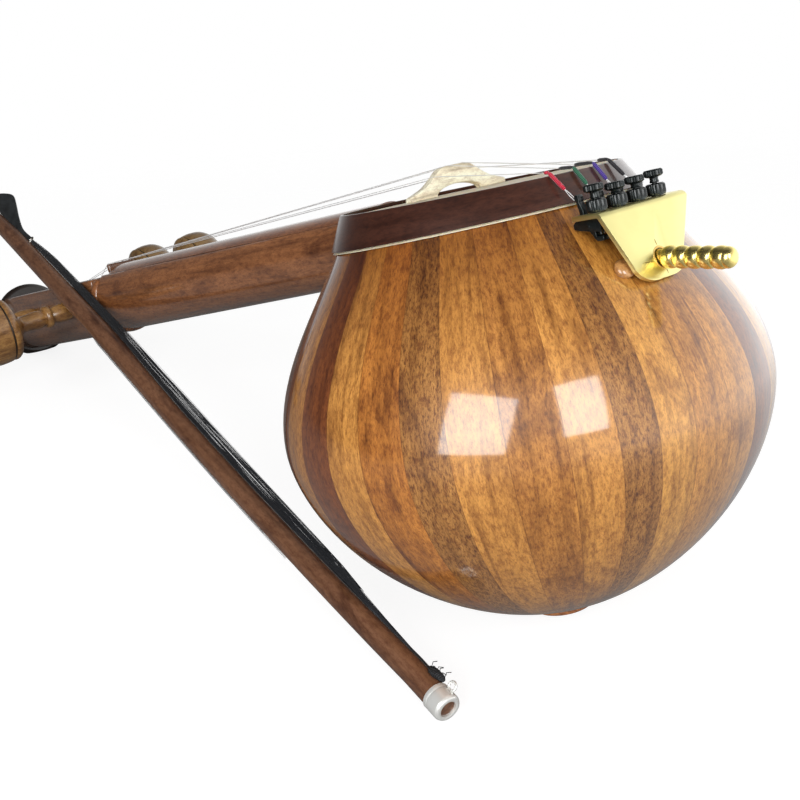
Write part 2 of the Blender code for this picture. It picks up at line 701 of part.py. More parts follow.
def peg_profile():
    """Turned outline of a peg, from the knob's end down to the shaft's tip."""
    knob, stem = PEG_KNOB_RADIUS, PEG_STEM_RADIUS
    face = PEG_KNOB_OUT
    length = PEG_KNOB_LENGTH
    bead = PEG_BEAD_OUT
    return [
        (0.0, face + length), (knob * 0.40, face + length * 0.98), (knob * 0.74, face + length * 0.88),
        (knob * 0.94, face + length * 0.68), (knob, face + length * 0.40), (knob * 0.985, face + length * 0.16),
        (knob * 0.93, face + length * 0.12), (knob * 0.93, face + length * 0.09), (knob * 0.95, face + length * 0.05),
        (knob * 0.90, face), (knob * 0.58, face - 2.5 * MM), (stem, face - 8 * MM), (stem * 1.12, bead + 6 * MM),
        (stem * 0.95, bead + 2.4 * MM), (PEG_BEAD_RADIUS, bead + 1.6 * MM), (PEG_BEAD_RADIUS, bead - 1.6 * MM),
        (stem * 0.9, bead - 2.4 * MM), (stem * PEG_STEM_SWELL, bead - 10 * MM),
        (stem * PEG_STEM_SWELL, bead - 14 * MM), (stem, PEGBOX_HALF_WIDTH + 2 * MM),
        (PEG_SHAFT_RADIUS, PEGBOX_HALF_WIDTH + 0.6 * MM), (PEG_SHAFT_RADIUS, -PEGBOX_HALF_WIDTH - 1.0 * MM),
        (PEG_SHAFT_RADIUS - 0.8 * MM, -PEGBOX_HALF_WIDTH - 1.8 * MM), (0.0, -PEGBOX_HALF_WIDTH - 1.8 * MM)]


def build_pegs(maker):
    """Four pegs, two knobs on each side."""
    for number in range(len(PEG_PLACES)):
        name = "peg_%d" % (number + 1)
        maker.part(name, turned_mesh(name, peg_profile(), 16), BOXWOOD, matrix=peg_matrix(number))


def build_bridge(maker):
    """The arched bridge standing on the skin."""
    base = skin_top_z() + SEAT_GAP
    wide, tall = BRIDGE_HALF_WIDTH, BRIDGE_HEIGHT
    shoulder = [
        (wide, 0.0), (wide - 0.3 * MM, 0.16 * tall), (wide * 0.84, 0.27 * tall), (wide * 0.66, 0.42 * tall),
        (wide * 0.50, 0.64 * tall), (wide * 0.34, 0.90 * tall), (wide * 0.22, 0.985 * tall), (0.0, tall)]
    arch = []
    for step in range(7):
        angle = pi * step / 6
        arch.append((-BRIDGE_ARCH_HALF_WIDTH * cos(angle), BRIDGE_ARCH_HEIGHT * sin(angle)))
    outline = shoulder + [(-y, z) for y, z in shoulder[-2::-1]] + arch
    mesh = outline_mesh("bridge", outline, BRIDGE_THICKNESS)
    place = Matrix.Translation((BRIDGE_X, 0.0, base)) @ Matrix.Rotation(pi / 2, 4, "Z") @ Matrix.Rotation(pi / 2, 4, "X")
    maker.part("bridge", mesh, BONE, matrix=place)


def bracket_rows():
    """Rows of the bent sheet's outer face from the flange's front edge to the plate's foot."""
    top = FLANGE_TOP_Z
    bend_x = FLANGE_FRONT_X + FLANGE_LENGTH
    rows = [(FLANGE_FRONT_X, top, 0.0, BRACKET_HALF_WIDTH)]
    sweep = pi / 2 - PLATE_LEAN
    back = BEND_RADIUS * sin(sweep / 2) / cos(sweep / 2)
    for step in range(5):
        angle = sweep * step / 4
        x = bend_x - back + BEND_RADIUS * sin(angle)
        z = top - BEND_RADIUS + BEND_RADIUS * cos(angle)
        rows.append((x, z, 0.0, BRACKET_HALF_WIDTH))
    waist_z = -ROD_DROP_AT_PLATE
    wide, narrow = PLATE_WAIST_HALF_WIDTH, PLATE_FOOT_HALF_WIDTH
    foot = top - PLATE_DROP
    rows.append((plate_outer_x(waist_z), waist_z, PLATE_OFFSET_Y, wide))
    for step in range(1, 7):
        angle = pi / 2 * step / 6
        z = waist_z + (foot - waist_z) * sin(angle)
        rows.append((plate_outer_x(z), z, PLATE_OFFSET_Y, narrow + (wide - narrow) * cos(angle)))
    return rows


def bracket_sheet():
    """The bent sheet as an open grid of faces, six across."""
    bm = bmesh.new()
    columns = (-1.0, -0.6, -0.2, 0.2, 0.6, 1.0)
    grid = []
    for x, z, middle, half in bracket_rows():
        grid.append([bm.verts.new((x, middle + half * share, z)) for share in columns])
    for upper, lower in zip(grid, grid[1:]):
        for index in range(len(columns) - 1):
            bm.faces.new((upper[index], lower[index], lower[index + 1], upper[index + 1]))
    mesh = bpy.data.meshes.new("tail_bracket")
    bm.to_mesh(mesh)
    bm.free()
    mesh.shade_smooth()
    mesh.set_sharp_from_angle(angle=radians(30.0))
    return mesh


def tuner_places():
    """Where the four tuner screws stand on the flange."""
    x = FLANGE_FRONT_X + TUNER_SETBACK
    return [Vector((x, TAIL_OFFSET_Y + TUNER_PITCH * (number - 1.5), FLANGE_TOP_Z)) for number in range(4)]


def build_bracket(maker):
    """The bent brass bracket with its spike hole, tuner holes and lever slots."""
    bracket = maker.part("tail_bracket", bracket_sheet(), BRASS)
    thick = bracket.modifiers.new("sheet", "SOLIDIFY")
    thick.thickness = BRACKET_THICKNESS
    thick.offset = -1.0
    thick.use_even_offset = True
    hole = rod_mesh("spike_hole", PLATE_HOLE_RADIUS, -12 * MM, 12 * MM)
    maker.cut(bracket, hole, rod_matrix(plate_outer_x(-ROD_DROP_AT_PLATE)))
    for place in tuner_places():
        bore = rod_mesh("tube_hole", TUNER_TUBE_RADIUS + FINE_GAP, -6 * MM, 6 * MM, 16)
        maker.cut(bracket, bore, Matrix.Translation(place))
        half = LEVER_THICKNESS / 2 + FINE_GAP
        low = (FLANGE_FRONT_X - 2 * MM, place.y - half, FLANGE_TOP_Z - 6 * MM)
        high = (FLANGE_FRONT_X + SLOT_DEPTH, place.y + half, FLANGE_TOP_Z + 4 * MM)
        maker.cut(bracket, box_mesh("lever_slot", low, high))


def build_rod_and_spike(maker):
    """The rod from the neck through the bowl, and the beaded spike screwed against its end."""
    end_x = bowl_radius(-ROD_DROP_AT_PLATE) + 0.5 * MM
    start_x = -bowl_radius(rod_z(-60 * MM)) - ROD_IN_NECK
    length = (end_x - start_x) / cos(ROD_PITCH)
    profile = [(0.0, length), (ROD_RADIUS, length), (ROD_RADIUS, 0.0), (0.0, 0.0)]
    maker.part("tension_rod", turned_mesh("tension_rod", profile, 20), STEEL, matrix=rod_matrix(start_x))

    plate_x = plate_outer_x(-ROD_DROP_AT_PLATE)
    inner = (end_x - plate_x) / cos(ROD_PITCH) + SEAT_GAP
    waist, bead, pitch = SPIKE_WAIST_RADIUS, SPIKE_BEAD_RADIUS, SPIKE_BEAD_PITCH
    first = 3.4 * MM
    points = [(0.0, inner), (SPIKE_SHANK_RADIUS, inner), (SPIKE_SHANK_RADIUS, first - pitch / 2)]
    for number in range(SPIKE_BEADS):
        centre = first + pitch * number
        for step in range(3):
            angle = -pi / 3 + pi / 3 * step
            points.append((waist + (bead - waist) * cos(angle), centre + pitch / 2 * sin(angle)))
    last = first + pitch * (SPIKE_BEADS - 0.5)
    for step in range(5):
        angle = pi / 2 * step / 4
        points.append((bead * 0.93 * cos(angle), last + SPIKE_TIP * sin(angle)))
    points[-1] = (0.0, last + SPIKE_TIP)
    maker.part("tail_spike", turned_mesh("tail_spike", points[::-1], 14), BRASS, matrix=rod_matrix(plate_x))


def build_button(maker):
    """The small turned button in the bowl beside the bracket."""
    z = BUTTON_DEPTH_Z
    radius = bowl_radius(z)
    slope = (bowl_radius(z - 1 * MM) - bowl_radius(z + 1 * MM)) / (2 * MM)
    outward = Vector((cos(BUTTON_ANGLE), sin(BUTTON_ANGLE), slope)).normalized()
    place = Vector((radius * cos(BUTTON_ANGLE), radius * sin(BUTTON_ANGLE), z)) + outward * SEAT_GAP
    profile = [(0.0, BUTTON_RISE)]
    for step in range(1, 5):
        angle = pi / 2 - pi / 2 * step / 4
        profile.append((BUTTON_RADIUS * cos(angle), BUTTON_RISE * (0.45 + 0.55 * sin(angle))))
    profile += [(BUTTON_RADIUS, 0.25 * MM), (0.0, 0.25 * MM)]
    maker.part("tail_button", turned_mesh("tail_button", profile, 16), BOXWOOD, matrix=along(place, outward))


def lever_pivot(place):
    """Axis of a lever, under the flange."""
    under = FLANGE_TOP_Z - BRACKET_THICKNESS
    return Vector((FLANGE_FRONT_X + LEVER_PIVOT_SETBACK, place.y, under - LEVER_PIVOT_DROP + 2 * MM))


def build_tuners(maker):
    """Four fine tuners: body under the flange, lever, knurled collar nut and screw."""
    under = -BRACKET_THICKNESS - FINE_GAP
    for number, place in enumerate(tuner_places()):
        tag = "_%d" % (number + 1)
        at = Matrix.Translation(place)
        pivot = lever_pivot(place) - place
        build_tuner_body(maker, "tuner_body" + tag, at, under, pivot)
        build_lever(maker, "tuner_lever" + tag, at @ Matrix.Translation(pivot))
        build_collar_nut(maker, "tuner_collar" + tag, at)
        build_tuner_screw(maker, "tuner_screw" + tag, at, TUNER_HEAD_LIFTS[number])


def build_tuner_body(maker, name, at, under, pivot):
    """A tube through the flange on a block whose cheeks hold the lever's pin."""
    cheek = LEVER_THICKNESS / 2 + FINE_GAP
    wall = 1.0 * MM
    low = (pivot.x - 1.3 * MM, -cheek - wall, pivot.z - 1.3 * MM)
    high = (2.2 * MM, cheek + wall, under)
    body = maker.part(name, box_mesh(name, low, high, 0.4 * MM, 1), BLACK_METAL, matrix=at)
    tube = rod_mesh("tuner_tube", TUNER_TUBE_RADIUS, under - 0.5 * MM, COLLAR_NUT_HEIGHT, 16)
    maker.cut(body, tube, at, "UNION")
    gap = box_mesh("lever_gap", (low[0] - 2 * MM, -cheek, low[2] - 2 * MM), (pivot.x + 1.9 * MM, cheek, under + 1 * MM))
    maker.cut(body, gap, at)
    bore = rod_mesh("screw_bore", TUNER_SCREW_RADIUS + FINE_GAP, -12 * MM, 12 * MM, 16)
    maker.cut(body, bore, at)
    pin = rod_mesh("lever_pin", LEVER_PIN_RADIUS, -cheek - wall / 2, cheek + wall / 2, 12)
    maker.cut(body, pin, at @ along(pivot, (0, 1, 0)), "UNION")


def build_lever(maker, name, at):
    """A bell crank: its foot lies under the screw and its hook stands up through the flange's slot."""
    rise, lean = HOOK_RISE, HOOK_LEAN
    foot = -TUNER_SCREW_REACH + BRACKET_THICKNESS + LEVER_PIVOT_DROP - 2 * MM - FINE_GAP
    reach = TUNER_SETBACK - LEVER_PIVOT_SETBACK
    outline = [
        (reach + 1.6 * MM, foot), (reach + 1.6 * MM, foot - 1.6 * MM), (reach - 1.2 * MM, foot - 1.6 * MM),
        (reach - 2.1 * MM, foot - 0.6 * MM), (-1.0 * MM, -1.4 * MM), (-1.7 * MM, -0.5 * MM), (-2.1 * MM, 1.4 * MM),
        (-3.6 * MM, 3.0 * MM), (-3.6 * MM, 5.6 * MM), (-3.6 * MM - lean, rise), (-3.0 * MM - lean, rise + 0.9 * MM),
        (-1.8 * MM - lean, rise + 0.6 * MM), (-1.5 * MM - lean, rise - 0.6 * MM), (-1.7 * MM - lean, rise - 1.6 * MM),
        (-1.8 * MM, 5.2 * MM), (-1.9 * MM, 1.8 * MM),
        (0.0, 1.6 * MM), (1.1 * MM, 1.1 * MM), (1.5 * MM, 0.0), (1.4 * MM, -1.4 * MM), (reach - 1.2 * MM, foot)]
    mesh = outline_mesh(name, outline[::-1], LEVER_THICKNESS)
    turn = Matrix.Rotation(pi / 2, 4, "X")
    lever = maker.part(name, mesh, BLACK_METAL, matrix=at @ turn)
    hole = rod_mesh("pin_hole", LEVER_PIN_RADIUS + FINE_GAP, -4 * MM, 4 * MM, 12)
    maker.cut(lever, hole, at @ turn)


def build_collar_nut(maker, name, at):
    """The knurled nut that clamps the tuner to the flange."""
    bore = TUNER_TUBE_RADIUS + FINE_GAP
    radius, tall = COLLAR_NUT_RADIUS, COLLAR_NUT_HEIGHT
    profile = [
        (bore, tall), (radius - 0.5 * MM, tall), (radius, tall - 0.5 * MM), (radius, FINE_GAP + 0.5 * MM),
        (radius - 0.5 * MM, FINE_GAP), (bore, FINE_GAP)]
    maker.part(name, turned_mesh(name, profile, 12), BLACK_METAL, matrix=at)


def build_tuner_screw(maker, name, at, lift):
    """The thumb screw: knurled head, waist, shoulder and thin shank."""
    start = COLLAR_NUT_HEIGHT + FINE_GAP
    head = start + lift
    radius, tall = TUNER_HEAD_RADIUS, TUNER_HEAD_HEIGHT
    profile = [
        (0.0, head + tall), (radius - 0.7 * MM, head + tall), (radius, head + tall - 0.5 * MM), (radius, head + 0.5 * MM),
        (radius - 0.6 * MM, head), (1.5 * MM, head), (1.5 * MM, start), (TUNER_SCREW_RADIUS, start),
        (TUNER_SCREW_RADIUS, -TUNER_SCREW_REACH), (0.0, -TUNER_SCREW_REACH)]
    maker.part(name, turned_mesh(name, profile, 12), BLACK_METAL, matrix=at)


def string_points(number):
    """Route of a string, from its peg over the nut and bridge to the lever's hook, with its radii."""
    share = number - 1.5
    thin = STRING_RADII[number]
    nut_y = STRING_SPACING_AT_NUT * share
    bridge_y = STRING_SPACING_AT_BRIDGE * share
    hook = tuner_places()[number]
    nut_z, nut_radius = neck_axis(NUT_X)
    nut_top = nut_z + nut_radius + NUT_RISE + SEAT_GAP + thin
    base = skin_top_z() + SEAT_GAP
    bridge_drop = (bridge_y / BRIDGE_HALF_WIDTH) ** 2 * BRIDGE_HEIGHT * 1.42
    bridge_top = base + BRIDGE_HEIGHT - bridge_drop + SEAT_GAP + thin
    peg_x = NUT_X + PEG_PLACES[number][0]
    rake = PEG_PLACES[number][2]
    peg_y = nut_y * 0.9
    peg_z = PEG_AXIS_Z + peg_y * sin(rake) / cos(rake) + PEG_SHAFT_RADIUS + SEAT_GAP + thin
    edge_y = bridge_y + (hook.y - bridge_y) * 0.8
    edge_x = sqrt(band_outer_radius(BAND_HEIGHT) ** 2 - edge_y ** 2)
    edge_z = BAND_HEIGHT * rim_fall(edge_x - 8 * MM)
    hook_x = lever_pivot(hook).x - 3.6 * MM - HOOK_LEAN - FINE_GAP - thin
    hook_z = lever_pivot(hook).z + HOOK_RISE - 0.8 * MM
    lift = SEAT_GAP + SILK_RADIUS
    route = [
        (peg_x, peg_y, peg_z, thin), (NUT_X - NUT_LENGTH, nut_y, nut_top, thin), (NUT_X - SEAT_GAP, nut_y, nut_top, thin),
        (BRIDGE_X - BRIDGE_THICKNESS / 2, bridge_y, bridge_top, thin),
        (BRIDGE_X + BRIDGE_THICKNESS / 2, bridge_y, bridge_top, thin)]
    silk_from = Vector((edge_x - 8 * MM, edge_y, edge_z + lift + 0.8 * MM))
    over_edge = Vector((edge_x + 0.4 * MM, edge_y, edge_z + lift))
    at_hook = Vector((hook_x, hook.y, hook_z))
    silk_end = over_edge.lerp(at_hook, 0.6)
    route += [
        (*(silk_from - Vector((0.8 * MM, 0, 0))), thin), (*silk_from, SILK_RADIUS), (*over_edge, SILK_RADIUS),
        (*over_edge.lerp(at_hook, 0.3), SILK_RADIUS), (*silk_end, SILK_RADIUS),
        (*over_edge.lerp(at_hook, 0.66), thin), (*at_hook, thin)]
    return [point[:3] for point in route], [point[3] for point in route]


def build_strings(maker):
    """Four steel strings with silk-wound tails."""
    for number in range(4):
        name = "string_%d" % (number + 1)
        points, radii = string_points(number)
        maker.part(name, tube_mesh(name, points, radii), STEEL)


def lay_instrument(maker):
    """Pitch the instrument until its foot disc and head collar lie on the table."""
    tilt = Matrix.Rotation(-REST_PITCH, 4, "Y")
    contact = Vector((-FOOT_RADIUS, 0.0, -BOWL_DEPTH - FOOT_THICKNESS))
    placed = tilt @ Matrix.Translation(-contact)
    maker.instrument.matrix_local = placed
    return placed


def bow_radius(height):
    """The stick thickens from its lower end to the hand."""
    return BOW_RADIUS_LOW + (BOW_RADIUS_HIGH - BOW_RADIUS_LOW) * height / BOW_LENGTH


def bow_sway(height):
    """How far the lower third of the stick bends away from the hair."""
    share = (height - SWAY_START) / (SWAY_END - SWAY_START)
    if share <= 0.0 or share >= 1.0:
        return 0.0
    return SWAY * sin(pi * share ** 0.8)


def lay_bow(maker, placed):
    """Lean the bow on the first peg's stem, with its lower end on the table."""
    turn = placed.to_3x3()
    peg = peg_matrix(0)
    stem = placed @ (peg @ Vector((0.0, 0.0, BOW_ON_PEG)))
    peg_line = (turn @ (peg.to_3x3() @ Vector((0, 0, 1)))).normalized()
    low = Vector((*BOW_LOW_END, FERRULE_RADIUS))
    rest = stem
    for _ in range(6):
        direction = (rest - low).normalized()
        across = direction.cross(peg_line).normalized()
        if across.z < 0:
            across.negate()
        stick = bow_radius((rest - low).length)
        rest = stem + across * (stick + PEG_STEM_RADIUS * PEG_STEM_SWELL + BOW_REST_GAP)
        low.z = FERRULE_RADIUS * sqrt(1.0 - direction.z ** 2)
    maker.bow.matrix_local = along(low, rest - low) @ Matrix.Rotation(BOW_ROLL, 4, "Z")


def build_bow(maker):
    """Stick, ferrule, eye, knot, hair, ring and strap."""
    frame = maker.bow
    shoulder = FERRULE_LENGTH + SEAT_GAP
    profile = [(0.0, BOW_LENGTH), (BOW_RADIUS_HIGH - 1.5 * MM, BOW_LENGTH), (BOW_RADIUS_HIGH, BOW_LENGTH - 2 * MM)]
    for step in range(10, -1, -1):
        height = shoulder + (SWAY_END - shoulder) * step / 10
        profile.append((bow_radius(height), height))
    profile += [(BOW_PLUG_RADIUS, shoulder), (BOW_PLUG_RADIUS, 1.0 * MM), (0.0, 1.0 * MM)]
    stick = turned_mesh("bow_stick", profile, BOW_SIDES)
    for vertex in stick.vertices:
        vertex.co.x -= bow_sway(vertex.co.z)
    maker.part("bow_stick", stick, DARK_WALNUT, frame)
    inner = BOW_PLUG_RADIUS + SEAT_GAP
    profile = [
        (inner, FERRULE_LENGTH), (FERRULE_RADIUS, FERRULE_LENGTH), (FERRULE_RADIUS, 0.8 * MM),
        (FERRULE_RADIUS - 0.8 * MM, 0.0), (inner, 0.0)]
    maker.part("bow_ferrule", turned_mesh("bow_ferrule", profile, 24), NICKEL, frame)

    knot_at = HAIR_START - KNOT_LENGTH
    grip = bow_radius(HAIR_START) + SEAT_GAP
    profile = [
        (grip, HAIR_START), (grip + KNOT_WALL * 0.6, HAIR_START), (grip + KNOT_WALL, knot_at + KNOT_LENGTH * 0.6),
        (grip + KNOT_WALL, knot_at + KNOT_LENGTH * 0.3), (grip + KNOT_WALL * 0.6, knot_at), (grip, knot_at)]
    maker.part("bow_binding", turned_mesh("bow_binding", profile, 16), HORSEHAIR, frame)

    eye_at = Vector((FERRULE_RADIUS + EYE_RADIUS + EYE_WIRE + FINE_GAP, 0.0, FERRULE_LENGTH * 0.5))
    ring = ring_mesh("bow_eye", EYE_RADIUS, EYE_WIRE, 12, 6)
    maker.part("bow_eye", ring, NICKEL, frame, along(eye_at, (0, 1, 0)))

    maker.part("bow_hair", loft_mesh("bow_hair", hair_rings()), HORSEHAIR, frame)

    ring_at = Vector((HAIR_END_OFFSET, 0.0, HAIR_END + SEAT_GAP + RING_WIRE + RING_RADIUS))
    ring = ring_mesh("bow_ring", RING_RADIUS, RING_WIRE, 16, 6)
    maker.part("bow_ring", ring, NICKEL, frame, along(ring_at, (0, 1, 0)))
    maker.part("bow_strap", loft_mesh("bow_strap", strap_rings()), BLACK_LEATHER, frame)


def ring_mesh(name, radius, wire, around, section):
    """A wire ring about local Z."""
    profile = []
    for step in range(section):
        angle = pi / 2 - 2 * pi * step / section
        profile.append((radius + wire * cos(angle), wire * sin(angle)))
    return turned_mesh(name, profile, around)


def flat_section(centre, half_width, half_thickness, height):
    """An eight-sided section of a flat strip whose width runs away from the stick."""
    ring = []
    for corner in range(8):
        angle = 2 * pi * corner / 8 + pi / 8
        ring.append((centre + half_width * cos(angle), half_thickness * sin(angle), height))
    return ring


def hair_rings():
    """Sections of the strip of hair that hugs the stick and gathers at the ring."""
    rings = []
    start = HAIR_START + SEAT_GAP
    steps = 18
    for step in range(steps + 1):
        height = start + (HAIR_END - start) * step / steps
        inner = bow_radius(height) + SEAT_GAP
        outer = inner + HAIR_WIDTH_LOW + (HAIR_WIDTH_HIGH - HAIR_WIDTH_LOW) * (1.0 - exp(-height / HAIR_SPREAD))
        gather = max(0.0, (height - HAIR_GATHER) / (HAIR_END - HAIR_GATHER))
        inner += (HAIR_END_OFFSET - HAIR_END_WIDTH / 2 - inner) * gather
        outer += (HAIR_END_OFFSET + HAIR_END_WIDTH / 2 - outer) * gather
        half = (outer - inner) / 2
        thick = HAIR_THICKNESS / 2 * (0.6 + 0.4 * min(1.0, height / (2 * HAIR_SPREAD)))
        rings.append(flat_section((outer + inner) / 2 - bow_sway(height), half, thick, height))
    return rings


def strap_rings():
    """Sections of the leather strap, from the hair's ring to its broad folded end."""
    rings = []
    start = HAIR_END + 2 * SEAT_GAP + 2 * RING_WIRE + 2 * RING_RADIUS
    for share, width in ((0.0, 0.20), (0.20, 0.27), (0.38, 0.53), (0.52, 0.80), (0.66, 1.0), (0.82, 0.74), (1.0, 0.30)):
        height = start + STRAP_LENGTH * share
        half = STRAP_WIDTH / 2 * width
        inner = bow_radius(height) + SEAT_GAP + 2.0 * MM * share ** 4
        if share == 0.0:
            inner = HAIR_END_OFFSET - half
        rings.append(flat_section(inner + half, half, STRAP_THICKNESS / 2 * (0.6 + 0.4 * width), height))
    return rings


def centre_on_table(maker):
    """Move the whole set so that the origin is under the middle of its box."""
    bpy.context.view_layer.update()
    graph = bpy.context.evaluated_depsgraph_get()
    low = Vector((1e9, 1e9, 1e9))
    high = -low
    for thing in maker.parts.objects:
        if thing.type != "MESH":
            continue
        solid = thing.evaluated_get(graph)
        for vertex in solid.data.vertices:
            place = solid.matrix_world @ vertex.co
            low = Vector(map(min, low, place))
            high = Vector(map(max, high, place))
    middle = (low + high) / 2
    maker.stand.location = (-middle.x, -middle.y, -low.z)
    bpy.context.view_layer.update()


def main():
    """Build the kamancheh and its bow."""
    clear_scene()
    maker = Maker()
    build_bowl(maker)
    build_foot(maker)
    build_skin_and_band(maker)
    build_neck(maker)
    build_pegbox(maker)
    build_head(maker)
    build_pegs(maker)
    build_bridge(maker)
    build_bracket(maker)
    build_rod_and_spike(maker)
    build_button(maker)
    build_tuners(maker)
    build_strings(maker)
    placed = lay_instrument(maker)
    build_bow(maker)
    lay_bow(maker, placed)
    centre_on_table(maker)


main()
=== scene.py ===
"""The looks of a kamancheh and its bow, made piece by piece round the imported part."""

import json
from math import atan2, cos, exp, hypot, pi, radians, sin, sqrt, tan

import bmesh
import bpy
from mathutils import Matrix, Vector, noise

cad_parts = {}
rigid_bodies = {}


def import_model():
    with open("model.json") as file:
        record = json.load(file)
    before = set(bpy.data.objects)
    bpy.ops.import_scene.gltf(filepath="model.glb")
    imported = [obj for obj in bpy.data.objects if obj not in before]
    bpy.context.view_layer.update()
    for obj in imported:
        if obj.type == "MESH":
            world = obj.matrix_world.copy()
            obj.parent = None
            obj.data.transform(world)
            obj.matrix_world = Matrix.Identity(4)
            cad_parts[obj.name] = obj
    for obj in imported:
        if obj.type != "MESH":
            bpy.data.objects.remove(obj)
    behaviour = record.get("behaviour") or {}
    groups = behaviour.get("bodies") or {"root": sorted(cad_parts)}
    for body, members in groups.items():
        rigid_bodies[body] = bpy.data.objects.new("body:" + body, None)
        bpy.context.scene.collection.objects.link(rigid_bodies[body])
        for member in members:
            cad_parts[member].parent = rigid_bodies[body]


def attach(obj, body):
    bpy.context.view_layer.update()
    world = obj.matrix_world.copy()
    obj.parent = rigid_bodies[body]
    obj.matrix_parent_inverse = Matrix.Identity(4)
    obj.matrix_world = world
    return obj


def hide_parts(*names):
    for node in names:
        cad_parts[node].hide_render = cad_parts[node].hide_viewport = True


bl_info = {
    "name": "Kamancheh looks",
    "version": (1, 0, 0),
    "blender": (4, 5, 0),
    "location": "3D View > Sidebar > Kamancheh",
    "description": "Builds the varnished, strung and polished pieces of a kamancheh and its bow",
    "category": "Add Mesh",
}

for leftover in list(bpy.data.objects):
    bpy.data.objects.remove(leftover)
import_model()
bpy.context.view_layer.update()

MM = 0.001
SEAT = 0.3 * MM

# Bowl, from the widest line to the rim and down to the pole
BOWL_RADIUS = 95.0 * MM
BOWL_RIM_RADIUS = 58.0 * MM
BOWL_WIDEST_DEPTH = 72.0 * MM
BOWL_DEPTH = 157.0 * MM
BOWL_WALL = 4.0 * MM
SHOULDER_POWER = 1.1
BELLY_POWER = 1.76
CAD_STAVE_PAIRS = 15
BOWL_STAVE_LENGTH = 235.0 * MM
POLE_HOLE_RADIUS = 9.0 * MM
BAND_HEIGHT = 11.2 * MM
BAND_THICKNESS = 1.2 * MM
RIM_SLOPE = 0.57
RIM_FALL = 1.7
SKIN_THICKNESS = 0.4 * MM
SKIN_HEM = 1.6 * MM
HEM_LIFT = 4.4
RIM_TOP = BAND_HEIGHT - SEAT - SKIN_THICKNESS + 0.1 * MM
SKIN_TOP = RIM_TOP + SEAT + SKIN_THICKNESS
FOOT_RADIUS = 12.8 * MM
FOOT_THICKNESS = 3.0 * MM

# Edges of the staves that face the camera, in degrees round the bowl; the rest are spread evenly
STAVE_EDGES = (-100.4, -89.4, -79.4, -68.8, -59.2, -48.3, -37.2, -27.5, -19.3, -10.9)
STAVES_BEHIND = 27
STAVE_TONES = (
    "russet", "honey", "ruddy", "speckled", "honey", "tawny", "honey", "speckled", "amber", "honey",
    "honey", "russet", "amber", "speckled", "honey", "tawny", "amber", "russet", "honey", "speckled",
    "tawny", "amber", "honey", "russet", "speckled", "amber", "honey", "tawny", "russet", "amber",
    "honey", "speckled", "tawny", "amber", "russet", "tawny")

# What each tone is: tint of the stave colour, how speckled and how figured
STAVE_WOODS = {
    "honey": ((1.0, 1.0, 1.0), 0.50, 0.80),
    "amber": ((1.12, 1.20, 1.25), 0.45, 0.75),
    "tawny": ((0.82, 0.76, 0.72), 0.60, 0.90),
    "ruddy": ((0.80, 0.66, 0.52), 0.60, 1.0),
    "russet": ((0.36, 0.22, 0.22), 0.60, 0.95),
    "speckled": ((0.64, 0.63, 0.70), 0.95, 0.95)}
VARNISH_IOR = 1.62
EVEN = (1.0, 1.0, 1.0)

# Rod, spike and bracket
ROD_DROP = 22.9 * MM
ROD_PITCH = radians(6.1)
ROD_RADIUS = 4.0 * MM
TAIL_OFFSET_Y = -2.5 * MM
SPIKE_BEADS = 5
SPIKE_BEAD_RADIUS = 3.7 * MM
SPIKE_BEAD_PITCH = 4.6 * MM
SPIKE_FIRST_BEAD = 3.4 * MM
SPIKE_WAIST_RADIUS = 2.5 * MM
SPIKE_SHANK_RADIUS = 2.7 * MM
SPIKE_TIP = 2.8 * MM
BRACKET_THICKNESS = 1.6 * MM
BRACKET_HALF_WIDTH = 22.5 * MM
FLANGE_TOP_Z = -4.2 * MM
FLANGE_FRONT_X = 62.8 * MM
FLANGE_LENGTH = 11.6 * MM
BEND_RADIUS = 2.6 * MM
PLATE_DROP = 25.0 * MM
PLATE_LEAN = radians(15.5)
PLATE_WAIST_HALF_WIDTH = 13.2 * MM
PLATE_FOOT_HALF_WIDTH = 3.6 * MM
PLATE_OFFSET_Y = -3.8 * MM
PLATE_HOLE_RADIUS = 3.2 * MM

# Neck, pegbox and head
NUT_X = -340.0 * MM
NECK_HEEL_X = -50.0 * MM
NECK_RADIUS_AT_HEEL = 16.0 * MM
NECK_RADIUS_AT_NUT = 21.3 * MM
NECK_AXIS_Z_AT_HEEL = -1.7 * MM
NECK_AXIS_Z_AT_NUT = -6.0 * MM
BOARD_THICKNESS = 4.6 * MM
BOARD_END_LENGTH = 9.0 * MM
BOARD_END_DROP = 2.6 * MM
NECK_BEAD_RADIUS = 22.9 * MM
NECK_BEAD_LENGTH = 8.0 * MM
NUT_LENGTH = 3.2 * MM
NUT_HALF_WIDTH = 11.0 * MM
NUT_RISE = 1.4 * MM
NUT_DRAWN_SHARE = 0.85
NUT_BEVEL = 1.3 * MM
PEGBOX_LENGTH = 182.0 * MM
PEGBOX_HALF_WIDTH = 19.5 * MM
PEGBOX_TOP_Z = 9.5 * MM
PEGBOX_BACK_Z_AT_NUT = -28.5 * MM
PEGBOX_BACK_Z_AT_HEAD = -34.0 * MM
PEGBOX_WALL = 7.5 * MM
PEGBOX_END_WALL = 12.0 * MM
PEGBOX_EDGE = 2.0 * MM
PEGBOX_CORNER = 15.0 * MM
PEGBOX_START = NUT_X - NUT_LENGTH - NECK_BEAD_LENGTH - 2 * SEAT - 1.2 * MM
CHANNEL_FLOOR_Z = -21.0 * MM
THROAT_Z = 8.0 * MM
THROAT_DROP = 6.0 * MM
COLLAR_RADIUS = 28.4 * MM
COLLAR_LENGTH = 9.0 * MM
HEAD_AXIS_Z = -11.0 * MM
FINIAL_RADIUS = 19.5 * MM
FINIAL_LENGTH = 44.0 * MM

